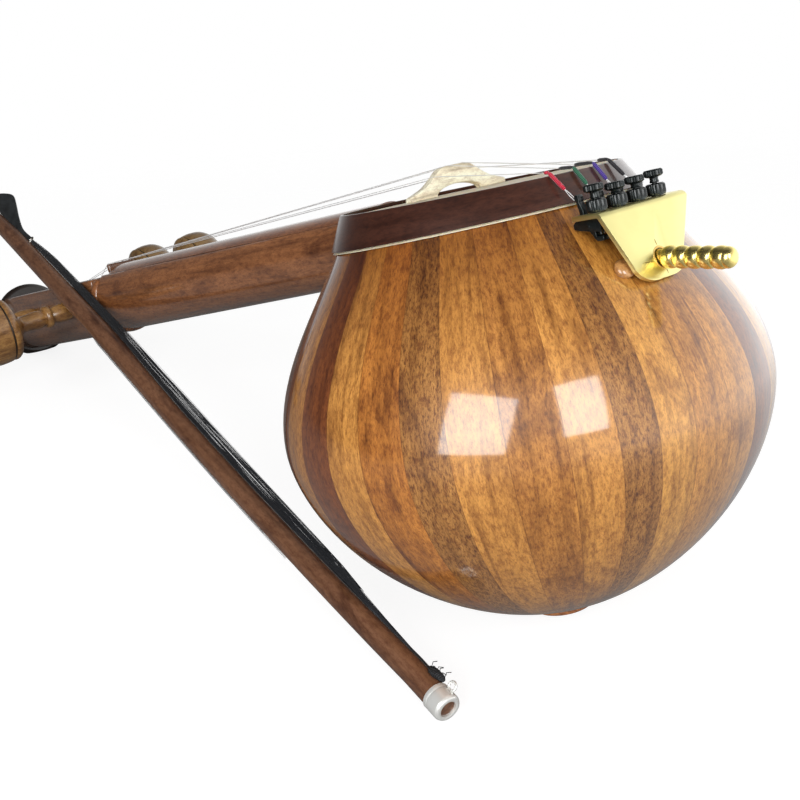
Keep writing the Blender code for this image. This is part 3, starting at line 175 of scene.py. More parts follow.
# Pegs: distance behind the nut, side and rake
PEG_PLACES = (
    (-46.0 * MM, -1, radians(3.0)), (-128.0 * MM, -1, radians(3.0)),
    (-141.0 * MM, 1, radians(7.5)), (-58.5 * MM, 1, radians(7.5)))
PEG_AXIS_Z = -5.7 * MM
PEG_SHAFT_RADIUS = 4.4 * MM
PEG_STEM_RADIUS = 5.4 * MM
PEG_STEM_SWELL = 1.15
PEG_BEAD_RADIUS = 7.6 * MM
PEG_KNOB_RADIUS = 21.0 * MM
PEG_BEAD_OUT = 41.0 * MM
PEG_KNOB_OUT = 66.0 * MM
PEG_KNOB_LENGTH = 37.0 * MM
FAR_KNOB_SHORTER = 9.0 * MM
WINDING_TURNS = 6
WINDING_STEPS = 14

# Bridge, tuners and strings
BRIDGE_X = -12.0 * MM
BRIDGE_HALF_WIDTH = 25.0 * MM
BRIDGE_HEIGHT = 10.7 * MM
BRIDGE_ARCH_HEIGHT = 3.6 * MM
BRIDGE_ARCH_HALF_WIDTH = 12.0 * MM
BRIDGE_THICKNESS = 4.0 * MM
TUNER_PITCH = 10.3 * MM
TUNER_SETBACK = 7.2 * MM
COLLAR_NUT_RADIUS = 3.0 * MM
COLLAR_NUT_HEIGHT = 4.2 * MM
TUNER_TUBE_RADIUS = 1.7 * MM
TUNER_SCREW_RADIUS = 0.9 * MM
TUNER_HEAD_RADIUS = 2.9 * MM
TUNER_HEAD_HEIGHT = 2.4 * MM
TUNER_HEAD_LIFTS = (2.2 * MM, 1.2 * MM, 1.5 * MM, 2.0 * MM)
TUNER_SCREW_REACH = 7.3 * MM
KNURL_SWELL = 1.12
LEVER_THICKNESS = 2.6 * MM
LEVER_PIVOT_SETBACK = 4.3 * MM
LEVER_PIVOT_DROP = 4.3 * MM
HOOK_RISE = 9.6 * MM
HOOK_LEAN = 1.3 * MM
SLOT_DEPTH = 3.2 * MM
STRING_RADII = (0.20 * MM, 0.22 * MM, 0.25 * MM, 0.28 * MM)
STRING_DRAWN_SHARE = 0.72
SILK_STARTS = (1.8 * MM, 6.2 * MM, 8.0 * MM, 4.5 * MM)
SILK_APPROACH = 8.0 * MM
STRING_SPACING_AT_NUT = 5.4 * MM
STRING_SPACING_AT_BRIDGE = 8.0 * MM
BUTTON_DRAWN_RADIUS = 3.538 * MM
BUTTON_DRAWN_RISE = 2.88 * MM
BUTTON_DEPTH_Z = -24.2 * MM
BUTTON_ANGLE = radians(-12.0)

# Bow
BOW_LENGTH = 655.0 * MM
BOW_RADIUS_LOW = 4.9 * MM
BOW_RADIUS_HIGH = 5.8 * MM
BOW_DEEPER = 2.0 * MM
SWAY = 2.0 * MM
SWAY_START = 24.0 * MM
SWAY_END = 350.0 * MM
FERRULE_RADIUS = 5.4 * MM
FERRULE_LENGTH = 11.0 * MM
FERRULE_DRAWN_LENGTH = 8.4 * MM
BOW_PLUG_RADIUS = 3.2 * MM
HAIR_START = 21.0 * MM
HAIR_KNOT_BOTTOM = 8.8 * MM
HAIR_KNOT_TOP = 17.0 * MM
HAIR_GATHER = 480.0 * MM
HAIR_END = 527.0 * MM
HAIR_THICKNESS = 2.4 * MM
HAIR_WIDTH_LOW = 1.2 * MM
HAIR_WIDTH_HIGH = 7.3 * MM
HAIR_SPREAD = 90.0 * MM
HAIR_END_OFFSET = 9.2 * MM
HAIR_END_WIDTH = 3.4 * MM
RING_RADIUS = 2.3 * MM
RING_WIRE = 0.7 * MM
STRAP_LENGTH = 112.0 * MM
STRAP_WIDTH = 18.0 * MM
STRAP_THICKNESS = 2.6 * MM
STRAP_SHAPE = ((0.0, 0.20), (0.20, 0.27), (0.38, 0.53), (0.52, 0.80), (0.66, 0.98), (0.82, 0.74), (1.0, 0.30))
EYE_RADIUS = 1.6 * MM
EYE_WIRE = 0.45 * MM

# How the two things lie on the table, and the camera
HEAD_DOWN_PITCH = radians(13.2)
LENS_MM = 45.0
SENSOR_MM = 36.0
INSTRUMENT = Matrix((
    (0.973579, 0.0, -0.228351, 0.238723), (0.0, 1.0, 0.0, 0.000189),
    (0.228351, 0.0, 0.973579, 0.158696), (0.0, 0.0, 0.0, 1.0)))
BOW = Matrix((
    (0.204413, -0.002320, -0.978882, 0.292998), (0.608306, 0.783770, 0.125171, -0.081211),
    (0.766928, -0.621046, 0.161624, 0.005329), (0.0, 0.0, 0.0, 1.0)))
CAMERA = Matrix((
    (0.649100, -0.230320, 0.725020, 0.511090), (0.757200, 0.286900, -0.586800, -0.268800),
    (-0.072900, 0.929870, 0.360580, 0.234150), (0.0, 0.0, 0.0, 1.0)))

# Floor and surroundings: strength where the camera sees them, in reflections and as light
FLOOR_SEEN = 0.86
FLOOR_MIRRORED = 1.3
FLOOR_FAR_SIDE = (0.45, 0.89, 0.0)
SKY_FAR_SIDE = (0.35, 0.94, -0.90)
SKY_MIRRORED = (0.06, 2.2)
SKY_LIGHT = 0.42


def colour_prop(name, description, default):
    """A colour that a user may change."""
    return bpy.props.FloatVectorProperty(
        name=name, description=description, default=default, size=3, min=0.0, max=1.0, subtype="COLOR")


def length_prop(name, description, default, low, high):
    """A length that a user may change, in metres."""
    return bpy.props.FloatProperty(
        name=name, description=description, default=default, min=low, max=high,
        subtype="DISTANCE", unit="LENGTH")


class KamanchehSizes(bpy.types.PropertyGroup):
    """Sizes of what is drawn finer than the solids"""

    glue_line: length_prop(
        "Glue line", "Width of the dark joint between two staves", 0.25 * MM, 0.0, 1.0 * MM)
    hem_fray: length_prop(
        "Hem fray", "How far the rawhide's lower edge wavers", 0.22 * MM, 0.0, 1.0 * MM)
    silk_radius: length_prop(
        "Silk winding", "Radius of the silk on a string's tail", 0.72 * MM, 0.4 * MM, 1.2 * MM)
    hair_radius: length_prop(
        "Hair", "Radius of one strand of bow hair", 0.08 * MM, 0.03 * MM, 0.4 * MM)
    hair_strands: bpy.props.IntProperty(
        name="Hair strands", description="Number of strands drawn over the bow's hair",
        default=130, min=0, max=600)


class KamanchehColours(bpy.types.PropertyGroup):
    """Colours of the wood, metal, skin and silk"""

    stave: colour_prop("Staves", "Middle tone of the bowl's honey staves", (0.60, 0.265, 0.055))
    walnut: colour_prop("Neck wood", "Middle tone of the neck and pegbox", (0.30, 0.112, 0.038))
    dark_walnut: colour_prop(
        "Band wood", "Wood of the rim band, and of the bow before its tint", (0.055, 0.015, 0.007))
    boxwood: colour_prop("Peg wood", "Middle tone of the pegs, finial and button", (0.33, 0.165, 0.048))
    # Near-black colour given to the whole head collar.
    ebony: colour_prop("Head collar", "Black wood between pegbox and finial", (0.016, 0.009, 0.006))
    maple: colour_prop("Bridge wood", "Pale wood of the bridge", (0.90, 0.82, 0.63))
    rawhide: colour_prop("Rawhide", "Skin stretched over the bowl", (0.80, 0.69, 0.50))
    brass: colour_prop("Brass", "Tail bracket and spike", (0.86, 0.70, 0.27))
    black_metal: colour_prop("Tuner metal", "Blackened steel of the fine tuners", (0.008, 0.011, 0.011))
    steel: colour_prop("Steel", "Strings and rod", (0.86, 0.86, 0.86))
    nickel: colour_prop("Ferrule nickel", "Ferrule and eye of the bow", (0.95, 0.96, 0.93))
    ring_nickel: colour_prop("Ring nickel", "Ring that holds the bow's strap", (0.74, 0.74, 0.70))
    silk_1: colour_prop("First silk", "Silk on the first string's tail", (0.62, 0.012, 0.045))
    silk_2: colour_prop("Second silk", "Silk on the second string's tail", (0.020, 0.135, 0.070))
    silk_3: colour_prop("Third silk", "Silk on the third string's tail", (0.075, 0.035, 0.300))
    silk_4: colour_prop("Fourth silk", "Silk on the fourth string's tail", (0.018, 0.016, 0.020))
    horsehair: colour_prop("Bow hair", "Black horsehair of the bow", (0.010, 0.011, 0.013))
    leather: colour_prop("Strap leather", "Black leather of the bow's strap", (0.014, 0.015, 0.016))
    floor: colour_prop("Floor", "Plain pale floor", (0.28, 0.28, 0.28))


def sizes():
    """The sizes set in the panel."""
    return bpy.context.scene.kamancheh_sizes


def tinted(colour, factor):
    """A colour made lighter or darker, or tinted by three factors."""
    factors = factor if hasattr(factor, "__len__") else (factor, factor, factor)
    return tuple(min(1.0, part * share) for part, share in zip(colour, factors))


def shade(name, tint=1.0):
    """A colour set in the panel, tinted."""
    return tinted(tuple(getattr(bpy.context.scene.kamancheh_colours, name)), tint)


class Nodes:
    """A node tree under construction."""

    def __init__(self, owner):
        owner.use_nodes = True
        self.tree = owner.node_tree

    def node(self, kind, sockets=(), **properties):
        """Add a node, set its properties, and give each socket a value or another node's output."""
        made = self.tree.nodes.new("ShaderNode" + kind)
        for name, value in properties.items():
            setattr(made, name, value)
        for socket, value in dict(sockets).items():
            if isinstance(value, bpy.types.NodeSocket):
                self.tree.links.new(value, made.inputs[socket])
            else:
                made.inputs[socket].default_value = value
        return made

    def smooth_step(self, value, start, end, low, high):
        """A number that eases from low to high while another goes from start to end."""
        return self.node("MapRange", {
            "Value": value, "From Min": start, "From Max": end, "To Min": low, "To Max": high,
        }, interpolation_type="SMOOTHSTEP").outputs["Result"]


class Finish(Nodes):
    """A material under construction: its nodes and the shader at its end."""

    def __init__(self, name, roughness=0.5, metallic=0.0):
        self.material = bpy.data.materials.new(name)
        super().__init__(self.material)
        self.shader = next(node for node in self.tree.nodes if node.type == "BSDF_PRINCIPLED")
        self.put(Roughness=roughness, Metallic=metallic)

    def put(self, **values):
        """Set the shader's own sockets; an underscore stands for a space."""
        for socket, value in values.items():
            self.shader.inputs[socket.replace("_", " ")].default_value = value

    def send(self, output, socket):
        """Let a pattern drive one of the shader's sockets."""
        self.tree.links.new(output, self.shader.inputs[socket])

    def coordinates(self, source="place", stretch=EVEN):
        """Stretched coordinates: a point's place in the piece's own frame, or a UV map by name."""
        if source == "place":
            out = self.node("Attribute", attribute_name="place").outputs["Vector"]
        else:
            out = self.node("UVMap", uv_map=source).outputs["UV"]
        return self.node("Mapping", {"Vector": out, "Scale": stretch}).outputs["Vector"]

    def uv(self, name, axis):
        """One coordinate of a UV map."""
        flat = self.node("UVMap", uv_map=name).outputs["UV"]
        return self.node("SeparateXYZ", {"Vector": flat}).outputs[axis]

    def clouds(self, vector, scale, detail=4.0, rough=0.6, distortion=0.0):
        """A noise pattern."""
        return self.node("TexNoise", {
            "Vector": vector, "Scale": scale, "Detail": detail, "Roughness": rough,
            "Distortion": distortion}).outputs["Fac"]

    def ramp(self, factor, stops, smooth=False):
        """A colour ramp over (place, colour) stops."""
        made = self.node("ValToRGB", {"Fac": factor})
        made.color_ramp.interpolation = "EASE" if smooth else "LINEAR"
        elements = made.color_ramp.elements
        while len(elements) < len(stops):
            elements.new(0.5)
        for element, (place, colour) in zip(elements, stops):
            element.position = place
            element.color = (*colour, 1.0)
        return made.outputs["Color"]

    def mix(self, first, second, factor=1.0, blend="MULTIPLY"):
        """Blend two colours, which are the mix node's sockets 6 and 7."""
        sides = [side if isinstance(side, bpy.types.NodeSocket) else (*side, 1.0) for side in (first, second)]
        sockets = {0: factor, 6: sides[0], 7: sides[1]}
        return self.node("Mix", sockets, data_type="RGBA", blend_type=blend).outputs[2]

    def bump(self, height, distance, strength=1.0):
        """Relief on the shader's normal, in metres."""
        sockets = {"Strength": strength, "Distance": distance, "Height": height}
        previous = self.shader.inputs["Normal"].links
        if previous:
            sockets["Normal"] = previous[0].from_socket
        self.send(self.node("Bump", sockets).outputs["Normal"], "Normal")

    def roughness_from(self, factor, low, high):
        """Roughness that follows a pattern."""
        made = self.node("MapRange", {"Value": factor, "To Min": low, "To Max": high})
        self.send(made.outputs["Result"], "Roughness")


def varnished_wood(name, colour, tint=1.0, grain=(1.0, 1.0, 0.07), source="place", speckle=0.35, figure=0.8,
                   contrast=1.0, coat=1.0, coat_roughness=0.05, roughness=0.42, seam=False):
    """Wood with streaks along its grain, broad figure, mottling and short dark pores, under varnish."""
    finish = Finish(name, roughness)

    def pattern(keep, scale, detail, rough, distortion=0.0):
        """Noise that keeps a share of the grain's stretch."""
        stretch = tuple(1.0 - keep + keep * part for part in grain)
        return finish.clouds(finish.coordinates(source, stretch), scale, detail, rough, distortion)

    streaks = pattern(1.0, 260.0, 6.0, 0.62, 0.35)
    broad = pattern(0.60, 46.0, 5.0, 0.68, 0.9)
    pores = pattern(0.78, 1900.0, 3.0, 0.7)
    dust = pattern(0.70, 620.0, 9.0, 0.78)
    base = shade(colour, tint)
    deep = tinted(base, (0.50 / contrast, 0.42 / contrast, 0.36 / contrast))
    pale = tinted(base, (1.22, 1.26, 1.30))
    wood = finish.ramp(streaks, ((0.30, deep), (0.47, base), (0.66, pale)))
    figured = ((0.30, (0.42, 0.32, 0.26)), (0.50, EVEN), (0.74, (1.25, 1.30, 1.34)))
    specks = ((0.48, EVEN), (0.64, (0.34, 0.24, 0.16)))
    mottle = ((0.40, (0.44, 0.30, 0.20)), (0.52, (1.0, 1.0, 0.96)), (0.68, (1.20, 1.26, 1.20)))
    layers = [
        (finish.ramp(broad, figured, True), figure), (finish.ramp(pores, specks), speckle),
        (finish.ramp(dust, mottle), 0.4 + 0.6 * speckle)]
    if seam:
        glue = ((0.0, (0.50, 0.42, 0.36)), (0.55, (0.85, 0.82, 0.80)), (1.0, EVEN))
        # Darker towards the rim, fading out over the first three tenths of a stave's length.
        stain = ((0.0, (0.46, 0.34, 0.16)), (0.30, EVEN))
        layers.append((finish.ramp(finish.uv("seam", "X"), glue), 1.0))
        layers.append((finish.ramp(finish.uv("stain", "Y"), stain, True), 1.0))
    for layer, share in layers:
        wood = finish.mix(wood, layer, share)
    finish.send(wood, "Base Color")
    finish.roughness_from(streaks, roughness - 0.10, roughness + 0.12)
    finish.bump(pores, 0.06 * MM, 0.5)
    finish.bump(streaks, 0.10 * MM, 0.25)
    finish.put(Coat_Weight=coat, Coat_Roughness=coat_roughness, Coat_IOR=VARNISH_IOR)
    return finish.material


def metal(name, colour, tint=1.0, roughness=0.3, brushed=EVEN, grain=0.10, tarnish=0.25, bare=1.0):
    """Metal with fine brushing and a little tarnish; where bare is under 1, part of its colour shows as a
    matt surface.
    """
    finish = Finish(name, roughness, bare)
    fine = finish.clouds(finish.coordinates("place", brushed), 1500.0, 3.0)
    patches = finish.clouds(finish.coordinates(), 90.0, distortion=0.5)
    bright = shade(colour, tint)
    spots = finish.ramp(patches, ((0.40, bright), (0.72, tinted(bright, (0.72, 0.62, 0.50)))), True)
    finish.send(finish.mix(bright, spots, tarnish, "MIX"), "Base Color")
    finish.roughness_from(fine, max(0.04, roughness - grain), roughness + grain)
    finish.bump(fine, 0.02 * MM, 0.25)
    return finish.material


def new_object(name, data, matrix=None):
    """An object in the scene."""
    thing = bpy.data.objects.new(name, data)
    bpy.context.scene.collection.objects.link(thing)
    if matrix is not None:
        thing.matrix_world = matrix
    return thing


def show(mesh, finish, slot, node=None, matrix=INSTRUMENT, body="instrument"):
    """Put a finished piece in place, on its body and in front of the node that it stands for."""
    place = mesh.attributes.new("place", "FLOAT_VECTOR", "POINT")
    for item, vert in zip(place.data, mesh.vertices):
        item.vector = vert.co
    mesh.transform(matrix)
    mesh.materials.append(finish)
    thing = new_object(mesh.name, mesh)
    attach(thing, body)
    if node:
        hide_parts(node)


def close_mesh(bm, name, sharp=40.0):
    """Turn a bmesh into a mesh with outward faces, smooth where it is round."""
    bmesh.ops.remove_doubles(bm, verts=bm.verts, dist=1e-7)
    bmesh.ops.dissolve_degenerate(bm, dist=1e-8, edges=bm.edges)
    bmesh.ops.recalc_face_normals(bm, faces=bm.faces)
    mesh = bpy.data.meshes.new(name)
    bm.to_mesh(mesh)
    bm.free()
    mesh.shade_smooth()
    mesh.set_sharp_from_angle(angle=radians(sharp))
    return mesh


def lengths_round(points):
    """Length from the first point of a closed line to each of the next ones, and back to the first."""
    lengths = [0.0]
    for first, second in zip(points, [*points[1:], points[0]]):
        lengths.append(lengths[-1] + (Vector(first) - Vector(second)).length)
    return lengths


def ring_loft(name, rings, sharp=40.0, closed=False, uv_at=None):
    """A solid through rings of points. UVs are in metres: round the widest ring, and along the rings.

    uv_at(row, column), where given, returns the places in three UV maps: grain, seam and stain.
    """
    bm = bmesh.new()
    maps = ("grain", "seam", "stain") if uv_at else ("grain",)
    layers = [bm.loops.layers.uv.new(title) for title in maps]
    count = len(rings[0])
    loops = [[bm.verts.new(point) for point in ring] for ring in rings]
    widest = max((lengths_round(ring) for ring in rings), key=lambda lengths: lengths[-1])
    down = [0.0]
    for first, second in zip(rings, rings[1:]):
        down.append(down[-1] + max((Vector(a) - Vector(b)).length for a, b in zip(first, second)))
    uv_at = uv_at or (lambda row, column: ((widest[column], down[row]),))
    spans = list(zip(range(len(rings)), range(1, len(rings))))
    if closed:
        spans.append((len(rings) - 1, 0))
    for low, high in spans:
        for index in range(count):
            after = (index + 1) % count
            corners = (loops[low][index], loops[low][after], loops[high][after], loops[high][index])
            places = ((low, index), (low, index + 1), (high, index + 1), (high, index))
            for loop, (row, column) in zip(bm.faces.new(corners).loops, places):
                for layer, value in zip(layers, uv_at(row, column)):
                    loop[layer].uv = value
    for ring in () if closed else (loops[0], loops[-1]):
        if (ring[0].co - ring[count // 2].co).length > 1e-6:
            for loop in bm.faces.new(ring).loops:
                loop[layers[0]].uv = (loop.vert.co.x, loop.vert.co.y)
    return close_mesh(bm, name, sharp)


def ring_of(sides, place):
    """A ring of points, each placed from the angle round it."""
    return [place(2 * pi * step / sides) for step in range(sides)]


def turned(name, profile, sides=72, sharp=35.0, waver=None):
    """Revolve (radius, height) points about local Z. A profile that starts off the axis is a ring."""
    rings = []
    for radius, height in profile:
        def place(angle):
            out = radius * (waver(angle, height) if waver else 1.0)
            return out * cos(angle), out * sin(angle), height
        rings.append(ring_of(sides, place))
    return ring_loft(name, rings, sharp, closed=profile[0][0] > 1e-9 and profile[-1][0] > 1e-9)


def arc(centre, reach, start, end, steps, power=1.0):
    """Points of an ellipse's arc from one angle to another; a power under 1 makes a half arc fuller."""
    points = []
    for step in range(steps + 1):
        angle = start + (end - start) * step / steps
        out = cos(angle) if power == 1.0 else max(0.0, cos(angle)) ** power
        points.append((centre[0] + reach[0] * out, centre[1] + reach[1] * sin(angle)))
    return points


def rounded(points, steps=5):
    """A smooth line that passes through a few points."""
    out = []
    for index in range(len(points) - 1):
        p0 = Vector(points[max(index - 1, 0)])
        p1, p2 = Vector(points[index]), Vector(points[index + 1])
        p3 = Vector(points[min(index + 2, len(points) - 1)])
        for step in range(steps):
            t = step / steps
            place = 0.5 * (
                2 * p1 + (p2 - p0) * t + (2 * p0 - 5 * p1 + 4 * p2 - p3) * t ** 2
                + (3 * p1 - p0 - 3 * p2 + p3) * t ** 3)
            out.append(tuple(place))
    out.append(tuple(points[-1]))
    return out


def eased(profile, radius=0.4 * MM, steps=3):
    """Round the corners of a (radius, height) profile."""
    out = [profile[0]]
    for before, corner, after in zip(profile, profile[1:], profile[2:]):
        a, b, c = Vector(before), Vector(corner), Vector(after)
        first, second = a - b, c - b
        reach = min(radius, first.length * 0.45, second.length * 0.45)
        if reach < 1e-6:
            out.append(corner)
            continue
        start, end = b + first.normalized() * reach, b + second.normalized() * reach
        for step in range(steps + 1):
            t = step / steps
            out.append(tuple(start * (1 - t) ** 2 + b * 2 * t * (1 - t) + end * t ** 2))
    out.append(profile[-1])
    return out


def tube(name, points, radii, sides=10, smooth=3):
    """A round wire through points, with a radius at each."""
    dense = [(*point, radius) for point, radius in zip(points, radii)]
    if smooth:
        dense = rounded(dense, smooth)
    rings = []
    side = None
    for index, place in enumerate(dense):
        here = Vector(place[:3])
        before = Vector(dense[max(index - 1, 0)][:3])
        after = Vector(dense[min(index + 1, len(dense) - 1)][:3])
        direction = (after - before).normalized()
        side = side or direction.orthogonal().normalized()
        side = (side - direction * side.dot(direction)).normalized()
        other = direction.cross(side)
        rings.append(ring_of(sides, lambda angle: here + (side * cos(angle) + other * sin(angle)) * place[3]))
    return ring_loft(name, rings, 60.0)


def slab(name, outline, thickness, bevel=0.0):
    """A flat outline in local XY with a thickness centred on Z and rounded edges."""
    bm = bmesh.new()
    face = bm.faces.new([bm.verts.new((x, y, -thickness / 2)) for x, y in outline])
    made = bmesh.ops.extrude_face_region(bm, geom=[face])["geom"]
    top = [item for item in made if isinstance(item, bmesh.types.BMVert)]
    bmesh.ops.translate(bm, vec=(0, 0, thickness), verts=top)
    bmesh.ops.recalc_face_normals(bm, faces=bm.faces)
    if bevel:
        rims = [edge for edge in bm.edges if abs(edge.calc_face_angle(0.0)) > radians(50)]
        bmesh.ops.bevel(
            bm, geom=rims, offset=bevel, segments=3, profile=0.5, affect="EDGES", clamp_overlap=True)
    return close_mesh(bm, name, 30.0)


def block(name, low, high, bevel=0.0, segments=2):
    """A block between two corners, with rounded edges where a bevel is given."""
    bm = bmesh.new()
    bmesh.ops.create_cube(bm, size=1.0)
    low, high = Vector(low), Vector(high)
    bmesh.ops.scale(bm, vec=high - low, verts=bm.verts)
    bmesh.ops.translate(bm, vec=(low + high) / 2, verts=bm.verts)
    if bevel:
        bmesh.ops.bevel(bm, geom=bm.edges[:], offset=bevel, segments=segments, profile=0.5, affect="EDGES")
    return close_mesh(bm, name, 40.0)


def plain_rod(name, radius, bottom, top, sides=32):
    """A round rod along local Z, for boring holes."""
    return turned(name, [(0.0, top), (radius, top), (radius, bottom), (0.0, bottom)], sides)


def cut(shape, matrix=None):
    """A shape to cut away, in its place."""
    return shape, matrix or Matrix(), "DIFFERENCE"


def joined(shape, matrix=None):
    """A shape to add, in its place."""
    return shape, matrix or Matrix(), "UNION"


def carved(name, mesh, tools, bevel=0.0, angle=35.0, extra=None):
    """A mesh with other meshes cut from it or joined to it and its edges rounded, as one finished mesh."""
    holder = new_object(name + "_blank", mesh)
    spent = [holder]
    if extra:
        extra(holder)
    for shape, matrix, operation in tools:
        tool = new_object(name + "_tool", shape, matrix)
        spent.append(tool)
        step = holder.modifiers.new("cut", "BOOLEAN")
        step.object = tool
        step.operation = operation
        step.solver = "EXACT"
    if bevel:
        edge = holder.modifiers.new("edge", "BEVEL")
        edge.width = bevel
        edge.segments = 3
        edge.limit_method = "ANGLE"
        edge.angle_limit = radians(angle)
        edge.use_clamp_overlap = True
    bpy.context.view_layer.update()
    made = bpy.data.meshes.new_from_object(holder.evaluated_get(bpy.context.evaluated_depsgraph_get()))
    made.name = name
    made.materials.clear()
    for thing in spent:
        bpy.data.objects.remove(thing, do_unlink=True)
    made.shade_smooth()
    made.set_sharp_from_angle(angle=radians(32.0))
    return made


def along(origin, direction, up=(0, 0, 1)):
    """A matrix whose local Z runs along a direction from a point, with local X near up."""
    z_axis = Vector(direction).normalized()
    x_axis = Vector(up) - z_axis * Vector(up).dot(z_axis)
    if x_axis.length < 1e-6:
        x_axis = Vector((1, 0, 0)) - z_axis * z_axis.x
    x_axis.normalize()
    y_axis = z_axis.cross(x_axis)
    return Matrix.Translation(origin) @ Matrix((x_axis, y_axis, z_axis)).transposed().to_4x4()


def bowl_radius(z, inset=0.0):
    """Radius of the bowl at a height, or of the same form set in by a wall."""
    if z >= 0.0:
        return BOWL_RIM_RADIUS - inset - RIM_SLOPE * z
    if z >= -BOWL_WIDEST_DEPTH:
        share = sin(pi / 2 * -z / BOWL_WIDEST_DEPTH) ** SHOULDER_POWER
        return BOWL_RIM_RADIUS - inset + (BOWL_RADIUS - BOWL_RIM_RADIUS) * share
    share = (-z - BOWL_WIDEST_DEPTH) / (BOWL_DEPTH - inset - BOWL_WIDEST_DEPTH)
    return (BOWL_RADIUS - inset) * max(0.0, 1.0 - share ** BELLY_POWER) ** (1.0 / BELLY_POWER)


def bowl_profile(top, inset, shoulder_steps, belly_steps):
    """Outline of the bowl from the rim to the hole at the pole."""
    points = [(bowl_radius(top, inset), top)]
    for step in range(shoulder_steps):
        z = -BOWL_WIDEST_DEPTH * step / shoulder_steps
        points.append((bowl_radius(z, inset), z))
    belly = BOWL_DEPTH - inset - BOWL_WIDEST_DEPTH
    widest = BOWL_RADIUS - inset
    last = (1.0 - (POLE_HOLE_RADIUS / widest) ** BELLY_POWER) ** (1.0 / BELLY_POWER)
    for step in range(belly_steps + 1):
        z = -BOWL_WIDEST_DEPTH - belly * last * sin(pi / 2 * step / belly_steps)
        points.append((bowl_radius(z, inset) if step < belly_steps else POLE_HOLE_RADIUS, z))
    return points


def rim_fall(x):
    """Share of its height that the rim keeps at a place along the instrument."""
    return 1.0 - RIM_FALL * (x - BRIDGE_X)


def sloped(place):
    """A point of the rim, lowered towards the tail."""
    x, y, z = place
    return (x, y, z * rim_fall(x)) if z > 0.0 else (x, y, z)


def slope_rim(mesh):
    """Lower what stands over the band's lower edge towards the tail."""
    for vert in mesh.vertices:
        vert.co = sloped(vert.co)
    return mesh


def band_outer_radius(z):
    """Outer face of the band, or of the bowl below it."""
    if z >= 0.0:
        return bowl_radius(z) + 2 * SEAT + SKIN_THICKNESS + BAND_THICKNESS
    return bowl_radius(z)


def stave_edges():
    """Angles between the staves, in radians, all the way round."""
    edges = list(STAVE_EDGES)
    step = (STAVE_EDGES[0] + 360.0 - STAVE_EDGES[-1]) / STAVES_BEHIND
    edges += [STAVE_EDGES[-1] + step * (index + 1) for index in range(STAVES_BEHIND)]
    return [radians(edge) for edge in edges]


def stave_mesh(name, start, end, number):
    """One stave as a curved wedge, with a line of glue at each side."""
    outer = bowl_profile(RIM_TOP, 0.0, 22, 34)
    inner = bowl_profile(RIM_TOP, BOWL_WALL, 6, 8)
    outline = outer + inner[::-1]
    lengths = lengths_round(outline)
    middle, half = (start + end) / 2, (end - start) / 2
    glue = sizes().glue_line / BOWL_RADIUS
    turns = [-half, -half + glue, *(half * share / 4 for share in range(-3, 4)), half - glue, half]
    rings = []
    for turn in turns:
        angle = middle + turn
        rings.append([sloped((radius * cos(angle), radius * sin(angle), z)) for radius, z in outline])

    def uv_at(row, column):
        """Places in the maps of the grain, the glued seam and the darkening towards the rim, along the stave.
        """
        across = number * 0.173 + turns[row] * outline[column % len(outline)][0]
        edge = 0.0 if row in (0, len(turns) - 1) else 1.0
        down = lengths[column]
        return (across, down + number * 0.091), (edge, 0.0), (0.0, down / BOWL_STAVE_LENGTH)

    return true_to_bowl(ring_loft(name, rings, 50.0, uv_at=uv_at))


def height_over_bowl(place):
    """Distance of a point outside the bowl's surface, measured level."""
    z = place.z / rim_fall(place.x) if place.z > 0.0 else place.z
    return hypot(place.x, place.y) - bowl_radius(z)


def true_to_bowl(mesh):
    """Shade a stave's outer face as one surface with its neighbours."""
    step = 0.1 * MM
    axes = [Vector((step, 0.0, 0.0)), Vector((0.0, step, 0.0)), Vector((0.0, 0.0, step))]
    outward = []
    for vert in mesh.vertices:
        slope = [height_over_bowl(vert.co + axis) - height_over_bowl(vert.co - axis) for axis in axes]
        outward.append(Vector(slope).normalized() if abs(height_over_bowl(vert.co)) < 0.05 * MM else None)
    normals = [(0.0, 0.0, 0.0)] * len(mesh.loops)
    for face in mesh.polygons:
        if all(outward[index] for index in face.vertices):
            for loop in face.loop_indices:
                normals[loop] = tuple(outward[mesh.loops[loop].vertex_index])
    mesh.normals_split_custom_set(normals)
    return mesh


class KAMANCHEH_OT_bowl(bpy.types.Operator):
    """Build the bowl from staves of six tones, glued edge to edge and varnished"""

    bl_idname = "kamancheh.bowl"
    bl_label = "Bowl"

    def execute(self, context):
        woods = {}
        for tone, (tint, speckle, figure) in STAVE_WOODS.items():
            woods[tone] = varnished_wood(
                "stave_" + tone, "stave", tint, (1.0, 0.085, 1.0), "grain", speckle, figure,
                coat_roughness=0.085, roughness=0.40, seam=True)
        edges = stave_edges()
        for index, (start, end) in enumerate(zip(edges, edges[1:])):
            tone = STAVE_TONES[index]
            pair = round((start + end) / 2 / radians(360.0 / CAD_STAVE_PAIRS)) % CAD_STAVE_PAIRS
            mesh = stave_mesh("stave_%02d" % (index + 1), start, end, index)
            slot = "stave_dark" if tone in ("russet", "ruddy", "speckled") else "stave_light"
            show(mesh, woods[tone], slot, "stave_pair_%02d" % (pair + 1))
        return {"FINISHED"}


def rawhide():
    """Dry skin with cloudy fibres."""
    finish = Finish("rawhide", 0.55)
    fibres = finish.clouds(finish.coordinates(), 110.0, 6.0, 0.65, 0.6)
    skin = shade("rawhide")
    stops = ((0.30, tinted(skin, (0.80, 0.74, 0.66))), (0.55, skin), (0.8, tinted(skin, 1.12)))
    finish.send(finish.ramp(fibres, stops), "Base Color")
    finish.roughness_from(fibres, 0.45, 0.68)
    finish.bump(fibres, 0.12 * MM, 0.5)
    finish.put(Subsurface_Weight=0.15, Subsurface_Scale=0.002)
    return finish.material


